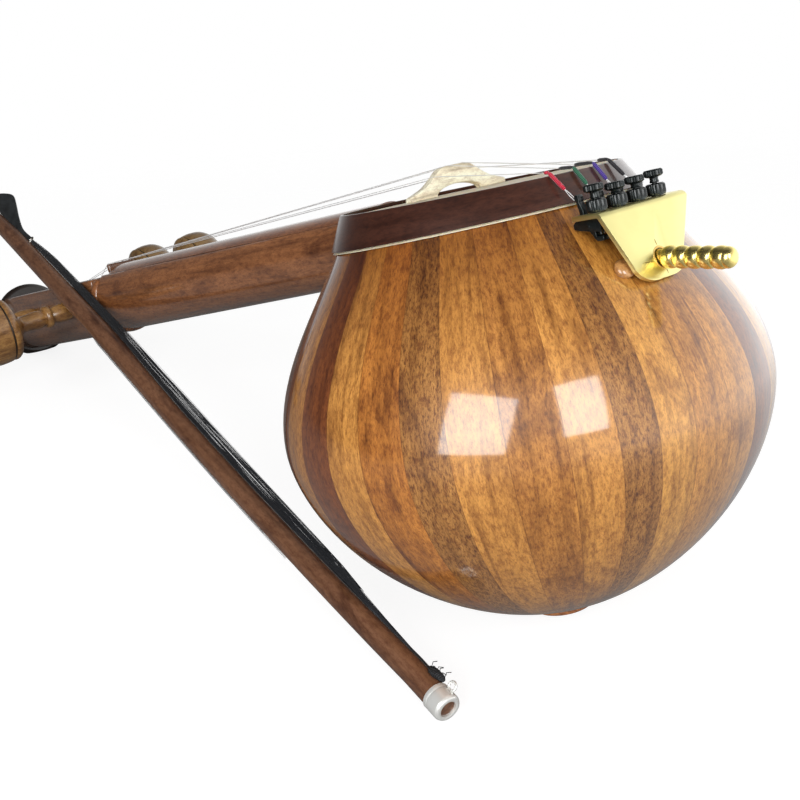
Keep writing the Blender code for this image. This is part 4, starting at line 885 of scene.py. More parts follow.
class KAMANCHEH_OT_rim(bpy.types.Operator):
    """Stretch the rawhide over the rim, with its frayed hem, and glue the dark veneer band round it"""

    bl_idname = "kamancheh.rim"
    bl_label = "Skin and rim band"

    def execute(self, context):
        self.skin()
        self.band()
        return {"FINISHED"}

    def skin(self):
        """The rawhide cup, its lower edge frayed."""
        thick, top, hem = SKIN_THICKNESS, SKIN_TOP, -SKIN_HEM
        under = top - thick
        rim, root, low = (bowl_radius(z) + SEAT for z in (under, 0.0, hem))
        profile = [
            (0.0, top), ((rim - SEAT) * 0.5, top), ((rim - SEAT) * 0.9, top), (rim - 0.2 * MM, top),
            (rim + thick, under - 0.2 * MM), (root + thick, 0.0), (low + thick, hem * 0.5),
            (low + thick, hem), (low, hem), (root, 0.0), (rim, under), (0.0, under)]
        mesh = slope_rim(turned("rawhide", profile, 240))
        for vert in mesh.vertices:
            if vert.co.z < hem * 0.8:
                angle = atan2(vert.co.y, vert.co.x)
                ragged = noise.noise(Vector((cos(angle) * 34, sin(angle) * 34, 0.4)))
                ragged += 0.8 * noise.noise(Vector((cos(angle) * 90, sin(angle) * 90, 2.0)))
                vert.co.z += sizes().hem_fray * (HEM_LIFT + ragged)
        show(mesh, rawhide(), "rawhide", "skin")

    def band(self):
        """The dark veneer, a little higher at the neck than at the tail."""
        inner = 2 * SEAT + SKIN_THICKNESS
        outer = inner + BAND_THICKNESS
        high, low = bowl_radius(BAND_HEIGHT), bowl_radius(0.0)
        profile = eased([
            (high + inner, BAND_HEIGHT), (high + (inner + outer) / 2, BAND_HEIGHT),
            (high + outer, BAND_HEIGHT),
            ((high + low) / 2 + outer, BAND_HEIGHT / 2), (low + outer, 0.0), (low + inner, 0.0)], 0.35 * MM)
        mesh = turned("rim_veneer", profile, 240)
        for vert in mesh.vertices:
            vert.co.z *= 1.0 + (0.8 - 14.0 * vert.co.x) * MM / BAND_HEIGHT
        wood = varnished_wood(
            "rim_veneer", "dark_walnut", 1.0, (0.09, 1.0, 1.0), "grain",
            speckle=0.45, figure=1.0, contrast=0.9,
            coat=0.55, coat_roughness=0.10)
        show(slope_rim(mesh), wood, "dark_walnut", "rim_band")


class KAMANCHEH_OT_foot(bpy.types.Operator):
    """Turn the small disc that closes the bowl's pole"""

    bl_idname = "kamancheh.foot"
    bl_label = "Foot disc"

    def execute(self, context):
        top = -BOWL_DEPTH
        bottom = top - FOOT_THICKNESS
        tenon = POLE_HOLE_RADIUS - SEAT
        profile = eased([
            (0.0, top + 6 * MM), (tenon, top + 6 * MM), (tenon, top), (FOOT_RADIUS - 0.9 * MM, top),
            (FOOT_RADIUS, top - 0.9 * MM), (FOOT_RADIUS, bottom + 0.5 * MM), (FOOT_RADIUS - 0.5 * MM, bottom),
            (FOOT_RADIUS * 0.6, bottom), (0.0, bottom)], 0.5 * MM)
        wood = varnished_wood(
            "foot_wood", "walnut", (1.5, 1.5, 1.4), (0.08, 1.0, 1.0), speckle=0.5, coat=0.9)
        show(turned("foot_turning", profile, 96), wood, "walnut", "foot_disc")
        return {"FINISHED"}


def neck_axis(x):
    """Height of the neck's axis and its radius at a place along it."""
    share = (x - NECK_HEEL_X) / (NUT_X - NECK_HEEL_X)
    z = NECK_AXIS_Z_AT_HEEL + (NECK_AXIS_Z_AT_NUT - NECK_AXIS_Z_AT_HEEL) * share
    return z, NECK_RADIUS_AT_HEEL + (NECK_RADIUS_AT_NUT - NECK_RADIUS_AT_HEEL) * share


def deck_z(x):
    """Height of the joint between the neck and the fingerboard."""
    z, radius = neck_axis(x)
    return z + radius - BOARD_THICKNESS


def neck_section(x, radius_extra, low=None, high=None, count=96):
    """Points round the neck at a place, cut flat below or above a height."""
    z, radius = neck_axis(x)
    radius += radius_extra
    ring = []
    for step in range(count):
        angle = 2 * pi * (step + 0.5) / count - pi / 2
        y, up = radius * cos(angle), z + radius * sin(angle)
        flat = low if low is not None and up < low else high if high is not None and up > high else None
        if flat is not None:
            reach = sqrt(max(0.0, radius ** 2 - (flat - z) ** 2))
            y, up = max(-reach, min(reach, y)), flat
        ring.append((x, y, up))
    return ring


class KAMANCHEH_OT_neck(bpy.types.Operator):
    """Turn the neck with its end bead, and lay on the fingerboard and the nut"""

    bl_idname = "kamancheh.neck"
    bl_label = "Neck, fingerboard and nut"

    def execute(self, context):
        self.neck(40)
        self.board(40)
        z, radius = neck_axis(NUT_X)
        half = NUT_HALF_WIDTH * NUT_DRAWN_SHARE
        low = (NUT_X - SEAT - NUT_LENGTH, -half, deck_z(NUT_X) + SEAT)
        high = (NUT_X - SEAT, half, z + radius + NUT_RISE)
        wood = varnished_wood(
            "nut_wood", "walnut", (0.55, 0.6, 0.7), (1.0, 0.06, 1.0), speckle=0.3, figure=0.5, coat=0.6,
            coat_roughness=0.15)
        show(block("nut_filed", low, high, NUT_BEVEL, 6), wood, "dark_walnut", "nut")
        return {"FINISHED"}

    def neck(self, steps):
        """The tapered neck, flat where the fingerboard lies, with the bead at its end."""
        rings = []
        heel = NECK_HEEL_X - 2 * MM
        for step in range(steps + 1):
            x = heel + (NUT_X + 1.0 * MM - heel) * step / steps
            rings.append(neck_section(x, 0.0, high=deck_z(x) - 0.05 * MM))
        for step in range(3):
            x = NUT_X - (NUT_LENGTH + 2 * SEAT) * step / 2
            rings.append(neck_section(x, 0.0, high=deck_z(NUT_X)))
        behind = NUT_X - NUT_LENGTH - 2 * SEAT
        for step in range(17):
            share = step / 16
            extra = (NECK_BEAD_RADIUS - NECK_RADIUS_AT_NUT) * sin(pi * share) ** 0.5
            extra -= 0.25 * MM * (share > 0.97)
            rings.append(neck_section(behind - NECK_BEAD_LENGTH * share, extra, high=THROAT_Z))
        wood = varnished_wood(
            "neck_wood", "walnut", 1.0, (0.06, 1.0, 1.0), speckle=0.40, figure=0.85, contrast=1.05,
            coat_roughness=0.10, roughness=0.36)
        show(ring_loft("neck_turning", rings, 38.0), wood, "walnut", "neck")

    def board(self, steps):
        """The fingerboard, with its end rounded down towards the nut."""
        rings = []
        start = -band_outer_radius(0.0) * 0.93
        end = NUT_X + BOARD_END_LENGTH
        for step in range(steps + 1):
            x = start + (end - start) * step / steps
            rings.append(neck_section(x, 0.0, low=deck_z(x) + 0.05 * MM))
        for step in range(1, 11):
            turn = pi / 2 * step / 10
            x = end - (BOARD_END_LENGTH - 2 * SEAT) * sin(turn)
            rings.append(neck_section(x, -BOARD_END_DROP * (1 - cos(turn)), low=deck_z(x) + 0.05 * MM))
        wood = varnished_wood(
            "board_wood", "walnut", (0.92, 0.86, 0.84), (0.05, 1.0, 1.0), speckle=0.45, coat_roughness=0.12,
            roughness=0.36)
        show(ring_loft("fingerboard_slice", rings, 38.0), wood, "dark_walnut", "fingerboard")


def peg_matrix(number):
    """Frame of a peg on the pegbox's middle plane, with local Z out through its knob."""
    setback, side, rake = PEG_PLACES[number]
    return along((NUT_X + setback, 0.0, PEG_AXIS_Z), Vector((0.0, cos(rake), sin(rake))) * side)


def pegbox_section(x, half_width, inset=0.0):
    """Section of the pegbox: flat top, upright cheeks and a rounded back."""
    share = (PEGBOX_START - x) / PEGBOX_LENGTH
    back = PEGBOX_BACK_Z_AT_NUT + (PEGBOX_BACK_Z_AT_HEAD - PEGBOX_BACK_Z_AT_NUT) * share + inset
    easing, corner = PEGBOX_EDGE, PEGBOX_CORNER
    top = PEGBOX_TOP_Z - inset
    edge = arc((easing - half_width, top - easing), (easing, easing), pi / 2, pi, 4)
    edge += arc((corner - half_width, back + corner), (corner, corner), pi, 1.5 * pi, 12)
    return [(x, y, z) for y, z in edge] + [(x, -y, z) for y, z in edge[::-1]]


class KAMANCHEH_OT_pegbox(bpy.types.Operator):
    """Carve the pegbox with its channel, throat and tapered peg bores"""

    bl_idname = "kamancheh.pegbox"
    bl_label = "Pegbox"

    def execute(self, context):
        start, end = PEGBOX_START, PEGBOX_START - PEGBOX_LENGTH
        rings = []
        for drop, narrow in ((0.0, 1.5), (0.5, 0.9), (1.2, 0.5), (4.0, 0.0)):
            half = PEGBOX_HALF_WIDTH - narrow * MM
            rings.append(pegbox_section(start - drop * MM, half, narrow * 0.4 * MM))
        for step in range(1, 9):
            x = start - 4 * MM - (PEGBOX_LENGTH - 5 * MM) * step / 8
            rings.append(pegbox_section(x, PEGBOX_HALF_WIDTH))
        rings.append(pegbox_section(end, PEGBOX_HALF_WIDTH - 0.5 * MM, 0.3 * MM))
        half = PEGBOX_HALF_WIDTH - PEGBOX_WALL
        over = PEGBOX_TOP_Z + 20 * MM
        channel = block(
            "channel", (end + PEGBOX_END_WALL, -half, CHANNEL_FLOOR_Z),
            (start - PEGBOX_WALL, half, over), 1.2 * MM)
        throat = block(
            "throat", (start - PEGBOX_WALL - 1 * MM, -half, THROAT_Z - THROAT_DROP),
            (start + 5 * MM, half, over))
        tools = [cut(channel), cut(throat)]
        for number in range(len(PEG_PLACES)):
            bore = plain_rod("bore", PEG_SHAFT_RADIUS + SEAT, -40 * MM, 40 * MM, 48)
            tools.append(cut(bore, peg_matrix(number)))
        mesh = carved("pegbox_carving", ring_loft("pegbox_blank", rings), tools, 0.5 * MM, 50.0)
        wood = varnished_wood(
            "pegbox_wood", "walnut", (0.85, 0.92, 1.05), (0.06, 1.0, 1.0), speckle=0.4, coat_roughness=0.12,
            roughness=0.38)
        show(mesh, wood, "walnut", "pegbox")
        return {"FINISHED"}


def table_block():
    """Everything under the table's surface, in the instrument's frame."""
    contact = Vector((-FOOT_RADIUS, 0.0, -BOWL_DEPTH - FOOT_THICKNESS))
    mesh = block("table_block", (-0.8, -0.1, -0.1), (0.05, 0.1, 0.0))
    return cut(mesh, Matrix.Translation(contact) @ Matrix.Rotation(HEAD_DOWN_PITCH, 4, "Y"))


class KAMANCHEH_OT_head(bpy.types.Operator):
    """Turn the black collar, planed flat on its back, and the finial"""

    bl_idname = "kamancheh.head"
    bl_label = "Head collar and finial"

    def execute(self, context):
        face = PEGBOX_START - PEGBOX_LENGTH - SEAT
        radius, length, edge = COLLAR_RADIUS, COLLAR_LENGTH, 3.5 * MM
        profile = [(0.0, length), (radius * 0.6, length)]
        profile += arc((radius - edge, length / 2), (edge, length / 2), pi / 2, -pi / 2, 16)
        profile += [(radius * 0.6, 0.0), (0.0, 0.0)]
        blank = turned("collar_blank", profile, 120)
        blank.transform(along((face, 0.0, HEAD_AXIS_Z), (-1.0, 0.0, 0.0)))
        mesh = carved("head_ring", blank, [table_block()], 0.25 * MM, 45.0)
        # The collar is coloured near black all over.
        black = varnished_wood(
            "collar_wood", "ebony", 1.0, (0.1, 1.0, 1.0),
            speckle=0.3, figure=0.5, coat=0.35, coat_roughness=0.12,
            roughness=0.4)
        show(mesh, black, "ebony", "head_collar")
        belly = 12 * MM
        waist, foot = FINIAL_RADIUS - 4.5 * MM, FINIAL_RADIUS - 1 * MM
        rough = arc((0.0, belly), (FINIAL_RADIUS, FINIAL_LENGTH - belly), pi / 2, 0.0, 14, 0.9)
        rough += [(waist, 7 * MM), (waist, 4 * MM), (foot, 1.2 * MM), (foot, 0.0), (0.0, 0.0)]
        place = along((face - COLLAR_LENGTH - SEAT, 0.0, HEAD_AXIS_Z), (-1.0, 0.0, 0.0))
        wood = varnished_wood(
            "finial_wood", "boxwood", 1.0, (1.0, 1.0, 0.08), speckle=0.3, figure=0.7, coat=0.9)
        show(turned("finial_turning", eased(rough, 0.8 * MM)), wood, "boxwood", "finial", INSTRUMENT @ place)
        return {"FINISHED"}

def peg_profile(shorter):
    """Turned outline of a peg, from the knob's end down to the shaft's tip."""
    knob, stem, shaft = PEG_KNOB_RADIUS, PEG_STEM_RADIUS, PEG_SHAFT_RADIUS
    face, length, bead = PEG_KNOB_OUT + shorter, PEG_KNOB_LENGTH - shorter, PEG_BEAD_OUT
    wide, cheek = stem * PEG_STEM_SWELL, PEGBOX_HALF_WIDTH

    def on_knob(*shares):
        """Points on the knob, from shares of its radius and its length."""
        return [(knob * out, face + length * up) for out, up in shares]

    dome = on_knob((0.0, 1.0), (0.40, 0.975), (0.74, 0.86), (0.94, 0.64), (0.998, 0.38), (0.985, 0.20))
    groove = on_knob(
        (0.975, 0.165), (0.93, 0.150), (0.925, 0.125), (0.965, 0.105), (0.968, 0.075), (0.95, 0.045))
    skirt = [
        (knob * 0.90, face + 0.2 * MM), (knob * 0.62, face - 2.2 * MM), (stem * 1.25, face - 5.5 * MM),
        (stem, face - 9 * MM), (stem * 1.10, bead + 7 * MM), (stem * 0.95, bead + 3.0 * MM)]
    ring = arc((stem * 0.95, bead), (PEG_BEAD_RADIUS - stem * 0.95, 2.3 * MM), pi / 2, -pi / 2, 8, 0.6)
    tail = [
        (stem * 0.92, bead - 2.8 * MM), (stem * 1.06, bead - 6 * MM), (wide, bead - 10 * MM),
        (wide * 0.99, bead - 14 * MM), (stem, cheek + 2 * MM)]
    end = [
        (shaft, cheek + 0.6 * MM), (shaft, -cheek - 1.0 * MM), (shaft - 0.8 * MM, -cheek - 1.8 * MM),
        (0.0, -cheek - 1.8 * MM)]
    return rounded(dome, 5) + groove + rounded(skirt, 4) + ring + rounded(tail, 4) + end


class KAMANCHEH_OT_pegs(bpy.types.Operator):
    """Turn the four pegs, with their grooved knobs and bead rings, and wind the strings' ends on them"""

    bl_idname = "kamancheh.pegs"
    bl_label = "Pegs"

    def execute(self, context):
        look = {"coat": 0.7, "coat_roughness": 0.16}
        near = varnished_wood("peg_wood_near", "boxwood", **look)
        # The pegs behind the neck get the same wood, darker and cooler: painted shade.
        far = varnished_wood("peg_wood_far", "boxwood", (0.80, 0.92, 1.10), **look)
        # A near-black ring laid in each knob's groove.
        groove_dark = varnished_wood(
            "burnt_line", "boxwood", 0.08, (1.0, 1.0, 0.3), speckle=0.2, figure=0.4, coat=0.4,
            coat_roughness=0.3, roughness=0.5)
        steel = metal("winding_steel", "steel", roughness=0.28, tarnish=0.1)
        for number, (_, side, _) in enumerate(PEG_PLACES):
            tag = "_%d" % (number + 1)
            spot = INSTRUMENT @ peg_matrix(number), "peg" + tag
            shorter = FAR_KNOB_SHORTER if side > 0 else 0.0
            mesh = turned("peg_turning" + tag, peg_profile(shorter), 96, 30.0)
            show(mesh, far if side > 0 else near, "boxwood", "peg" + tag, *spot)
            groove = PEG_KNOB_OUT + shorter + (PEG_KNOB_LENGTH - shorter) * 0.137
            line = arc((PEG_KNOB_RADIUS * 0.928, groove), (0.35 * MM, 0.55 * MM), 0.0, 2 * pi, 8)[:-1]
            show(turned("peg_burnt_line" + tag, line, 96), groove_dark, "boxwood", None, *spot)
            wire = STRING_RADII[number]
            middle = STRING_SPACING_AT_NUT * (number - 1.5) * 0.9 * side
            out = PEG_SHAFT_RADIUS + wire * 0.8
            points = []
            for step in range(WINDING_TURNS * WINDING_STEPS):
                angle = 2 * pi * step / WINDING_STEPS
                rise = wire * 2.2 * (step / WINDING_STEPS - WINDING_TURNS / 2)
                points.append((out * cos(angle), out * sin(angle), middle + rise))
            winding = tube("peg_winding" + tag, points, [wire] * len(points), 6, 0)
            show(winding, steel, "steel", None, *spot)
        return {"FINISHED"}


class KAMANCHEH_OT_bridge(bpy.types.Operator):
    """Cut the arched bridge and file its foot, shoulders and crown"""

    bl_idname = "kamancheh.bridge"
    bl_label = "Bridge"

    def execute(self, context):
        wide, tall = BRIDGE_HALF_WIDTH, BRIDGE_HEIGHT
        shoulder = rounded([
            (wide, 0.0), (wide - 0.3 * MM, 0.16 * tall), (wide * 0.84, 0.27 * tall),
            (wide * 0.66, 0.42 * tall), (wide * 0.50, 0.64 * tall), (wide * 0.34, 0.90 * tall),
            (wide * 0.22, 0.985 * tall), (0.0, tall)], 4)
        hollow = arc((0.0, 0.0), (-BRIDGE_ARCH_HALF_WIDTH, BRIDGE_ARCH_HEIGHT), 0.0, pi, 18)
        outline = shoulder + [(-y, z) for y, z in shoulder[-2::-1]] + hollow
        mesh = slab("bridge_cut", outline, BRIDGE_THICKNESS, 0.5 * MM)
        place = Matrix.Translation((BRIDGE_X, 0.0, SKIN_TOP + SEAT))
        place = place @ Matrix.Rotation(pi / 2, 4, "Z") @ Matrix.Rotation(pi / 2, 4, "X")
        wood = varnished_wood(
            "bridge_wood", "maple", 1.0, (0.08, 1.0, 1.0), speckle=0.10, figure=0.25, contrast=1.6, coat=0.25,
            coat_roughness=0.25, roughness=0.45)
        show(mesh, wood, "pale_wood", "bridge", INSTRUMENT @ place)
        return {"FINISHED"}


def plate_outer_x(z):
    """Where the leaning plate's outer face is at a height."""
    return FLANGE_FRONT_X + FLANGE_LENGTH + (FLANGE_TOP_Z - z) * tan(PLATE_LEAN)


def rod_z(x):
    """Height of the rod's line at a place along the instrument."""
    return -ROD_DROP - (x - plate_outer_x(-ROD_DROP)) * tan(ROD_PITCH)


def rod_matrix(x):
    """Frame on the rod's line whose local Z points to the tail."""
    return along((x, TAIL_OFFSET_Y, rod_z(x)), (cos(ROD_PITCH), 0.0, -sin(ROD_PITCH)))


def tuner_places():
    """Where the four tuner screws stand on the flange."""
    x = FLANGE_FRONT_X + TUNER_SETBACK
    return [Vector((x, TAIL_OFFSET_Y + TUNER_PITCH * (number - 1.5), FLANGE_TOP_Z)) for number in range(4)]


def lever_pivot(place):
    """Axis of a lever, under the flange."""
    under = FLANGE_TOP_Z - BRACKET_THICKNESS
    return Vector((FLANGE_FRONT_X + LEVER_PIVOT_SETBACK, place.y, under - LEVER_PIVOT_DROP + 2 * MM))


def bracket_rows():
    """Rows of the bent sheet's outer face, from the flange's front edge to the plate's foot."""
    top, whole = FLANGE_TOP_Z, BRACKET_HALF_WIDTH
    rows = [(FLANGE_FRONT_X, top, 0.0, whole)]
    sweep = pi / 2 - PLATE_LEAN
    bend_x = FLANGE_FRONT_X + FLANGE_LENGTH - BEND_RADIUS * tan(sweep / 2)
    for x, z in arc((bend_x, top - BEND_RADIUS), (BEND_RADIUS, BEND_RADIUS), pi / 2, pi / 2 - sweep, 12):
        rows.append((x, z, 0.0, whole))
    waist_z, foot = -ROD_DROP, top - PLATE_DROP
    wide, narrow = PLATE_WAIST_HALF_WIDTH, PLATE_FOOT_HALF_WIDTH
    for half, z in arc((narrow, waist_z), (wide - narrow, foot - waist_z), 0.0, pi / 2, 14):
        rows.append((plate_outer_x(z), z, PLATE_OFFSET_Y, half))
    return rows


def bracket_sheet():
    """The bent sheet as an open grid of faces."""
    bm = bmesh.new()
    columns = (-1.0, -0.6, -0.2, 0.2, 0.6, 1.0)
    grid = []
    for x, z, middle, half in bracket_rows():
        grid.append([bm.verts.new((x, middle + half * share, z)) for share in columns])
    for upper, lower in zip(grid, grid[1:]):
        for index in range(len(columns) - 1):
            bm.faces.new((upper[index], lower[index], lower[index + 1], upper[index + 1]))
    mesh = bpy.data.meshes.new("bracket_sheet")
    bm.to_mesh(mesh)
    bm.free()
    return mesh


def thicken(holder):
    """Give the sheet its thickness, inwards."""
    step = holder.modifiers.new("sheet", "SOLIDIFY")
    step.thickness = BRACKET_THICKNESS
    step.offset = -1.0
    step.use_even_offset = True


class KAMANCHEH_OT_bracket(bpy.types.Operator):
    """Bend the brass tail bracket, bore it, file its edges and scribe the marks round the spike's hole"""

    bl_idname = "kamancheh.bracket"
    bl_label = "Tail bracket"

    def execute(self, context):
        hole_x = plate_outer_x(-ROD_DROP)
        tools = [cut(plain_rod("hole", PLATE_HOLE_RADIUS, -12 * MM, 12 * MM, 64), rod_matrix(hole_x))]
        half = LEVER_THICKNESS / 2 + 0.2 * MM
        for place in tuner_places():
            bore = plain_rod("tube_hole", TUNER_TUBE_RADIUS + 0.2 * MM, -6 * MM, 6 * MM)
            low = (FLANGE_FRONT_X - 2 * MM, place.y - half, FLANGE_TOP_Z - 6 * MM)
            high = (FLANGE_FRONT_X + SLOT_DEPTH, place.y + half, FLANGE_TOP_Z + 4 * MM)
            tools += [cut(bore, Matrix.Translation(place)), cut(block("lever_slot", low, high))]
        mesh = carved("bracket_bent", bracket_sheet(), tools, 0.28 * MM, 40.0, thicken)
        satin = metal("satin_brass", "brass", (0.94, 1.06, 1.22), 0.34, (1.0, 0.08, 1.0), 0.08, 0.12)
        show(mesh, satin, "brass", "tail_bracket")
        self.marks(Vector((hole_x, TAIL_OFFSET_Y, -ROD_DROP)))
        return {"FINISHED"}

    def marks(self, middle):
        """Scribed strokes and a burnished ring round the spike's hole."""
        dark = metal("scribed_brass", "brass", (0.30, 0.22, 0.16), 0.6, tarnish=0.6)
        down = Vector((sin(PLATE_LEAN), 0.0, -cos(PLATE_LEAN)))
        across = Vector((0.0, 1.0, 0.0))
        strokes = (
            ("scribe_left", -10.2, -4.2, across, 0.4), ("scribe_up", -6.4, -4.0, down, 0.0),
            ("scribe_down", 3.9, 5.6, down, 0.0))
        radii = [radius * MM for radius in (0.02, 0.11, 0.12, 0.10, 0.02)]
        for name, start, end, way, tilt in strokes:
            points = []
            for step in range(5):
                out = start + (end - start) * step / 4
                points.append(middle + (way * out + down * tilt * step / 4) * MM)
            show(tube(name, points, radii, 6, 2), dark, "brass")
        ring = arc((PLATE_HOLE_RADIUS + 0.42 * MM, 0.0), (0.34 * MM, 0.10 * MM), 0.0, 2 * pi, 12)[:-1]
        face = along(middle, (cos(PLATE_LEAN), 0.0, sin(PLATE_LEAN)))
        pale = metal("burnished_brass", "brass", (1.0, 0.86, 0.80), 0.5, tarnish=0.6)
        show(turned("hole_ring", ring), pale, "brass", None, INSTRUMENT @ face)


class KAMANCHEH_OT_spike(bpy.types.Operator):
    """Turn the beaded brass spike and the steel rod behind it"""

    bl_idname = "kamancheh.spike"
    bl_label = "Spike and rod"

    def execute(self, context):
        end_x = bowl_radius(-ROD_DROP) + 0.5 * MM
        start_x = -bowl_radius(rod_z(-60 * MM)) - 55.0 * MM
        length = (end_x - start_x) / cos(ROD_PITCH)
        profile = eased([(0.0, length), (ROD_RADIUS, length), (ROD_RADIUS, 0.0), (0.0, 0.0)], 0.5 * MM)
        steel = metal("rod_steel", "steel", brushed=(1.0, 1.0, 0.1), tarnish=0.2)
        mesh = turned("rod_drawn", profile, 48)
        show(mesh, steel, "steel", "tension_rod", INSTRUMENT @ rod_matrix(start_x))
        plate_x = plate_outer_x(-ROD_DROP)
        inner = (end_x - plate_x) / cos(ROD_PITCH) + SEAT
        waist, bead, pitch = SPIKE_WAIST_RADIUS, SPIKE_BEAD_RADIUS, SPIKE_BEAD_PITCH
        first = SPIKE_FIRST_BEAD
        shank = SPIKE_SHANK_RADIUS
        points = [(0.0, inner), (shank, inner), (shank, first - pitch / 2 - 0.3 * MM)]
        half_turn = pi / 2 * 10 / 11
        for number in range(SPIKE_BEADS):
            centre = (waist, first + pitch * number)
            points += arc(centre, (bead - waist, pitch / 2), -half_turn, half_turn, 10, 0.8)
        last = first + pitch * (SPIKE_BEADS - 0.5)
        points += arc((0.0, last), (bead * 0.93, SPIKE_TIP), 0.0, pi / 2, 8, 0.8)
        brass = metal("polished_brass", "brass", (1.12, 1.12, 1.05), 0.26, (1.0, 1.0, 0.2), 0.06, 0.15)
        mesh = turned("spike_turning", points[::-1], 64, 50.0)
        show(mesh, brass, "brass", "tail_spike", INSTRUMENT @ rod_matrix(plate_x))
        return {"FINISHED"}


class KAMANCHEH_OT_button(bpy.types.Operator):
    """Turn the small wooden button beside the bracket"""

    bl_idname = "kamancheh.button"
    bl_label = "Tail button"

    def execute(self, context):
        z = BUTTON_DEPTH_Z
        radius = bowl_radius(z)
        slope = (bowl_radius(z - 1 * MM) - bowl_radius(z + 1 * MM)) / (2 * MM)
        outward = Vector((cos(BUTTON_ANGLE), sin(BUTTON_ANGLE), slope)).normalized()
        place = Vector((radius * cos(BUTTON_ANGLE), radius * sin(BUTTON_ANGLE), z)) + outward * SEAT
        wide, tall = BUTTON_DRAWN_RADIUS, BUTTON_DRAWN_RISE
        profile = arc((0.0, tall * 0.40), (wide, tall * 0.60), pi / 2, 0.0, 12, 0.9)
        profile += [(wide * 0.92, 0.2 * MM), (wide * 0.8, -0.5 * MM), (0.0, -0.5 * MM)]
        wood = varnished_wood(
            "button_wood", "boxwood", (1.5, 1.45, 1.6), (1.0, 1.0, 0.1), speckle=0.2, figure=0.5,
            coat_roughness=0.06, roughness=0.35)
        mesh = turned("button_turning", profile, 48)
        show(mesh, wood, "boxwood", "tail_button", INSTRUMENT @ along(place, outward))
        return {"FINISHED"}


def blackened(name):
    """Blackened steel, worn a little at random."""
    finish = Finish(name, 0.32, 0.55)
    wear = finish.clouds(finish.coordinates(), 420.0)
    stops = ((0.45, shade("black_metal")), (0.75, shade("black_metal", (2.2, 2.4, 2.4))))
    finish.send(finish.ramp(wear, stops), "Base Color")
    finish.roughness_from(wear, 0.22, 0.45)
    finish.bump(wear, 0.03 * MM, 0.4)
    finish.put(Coat_Weight=0.4, Coat_Roughness=0.15)
    return finish.material


def knurl(count, depth, low, high):
    """Ridges round a knurled rim between two heights, as a factor on the radius."""
    return lambda angle, height: 1.0 - depth * (0.5 + 0.5 * cos(count * angle)) * (low < height < high)


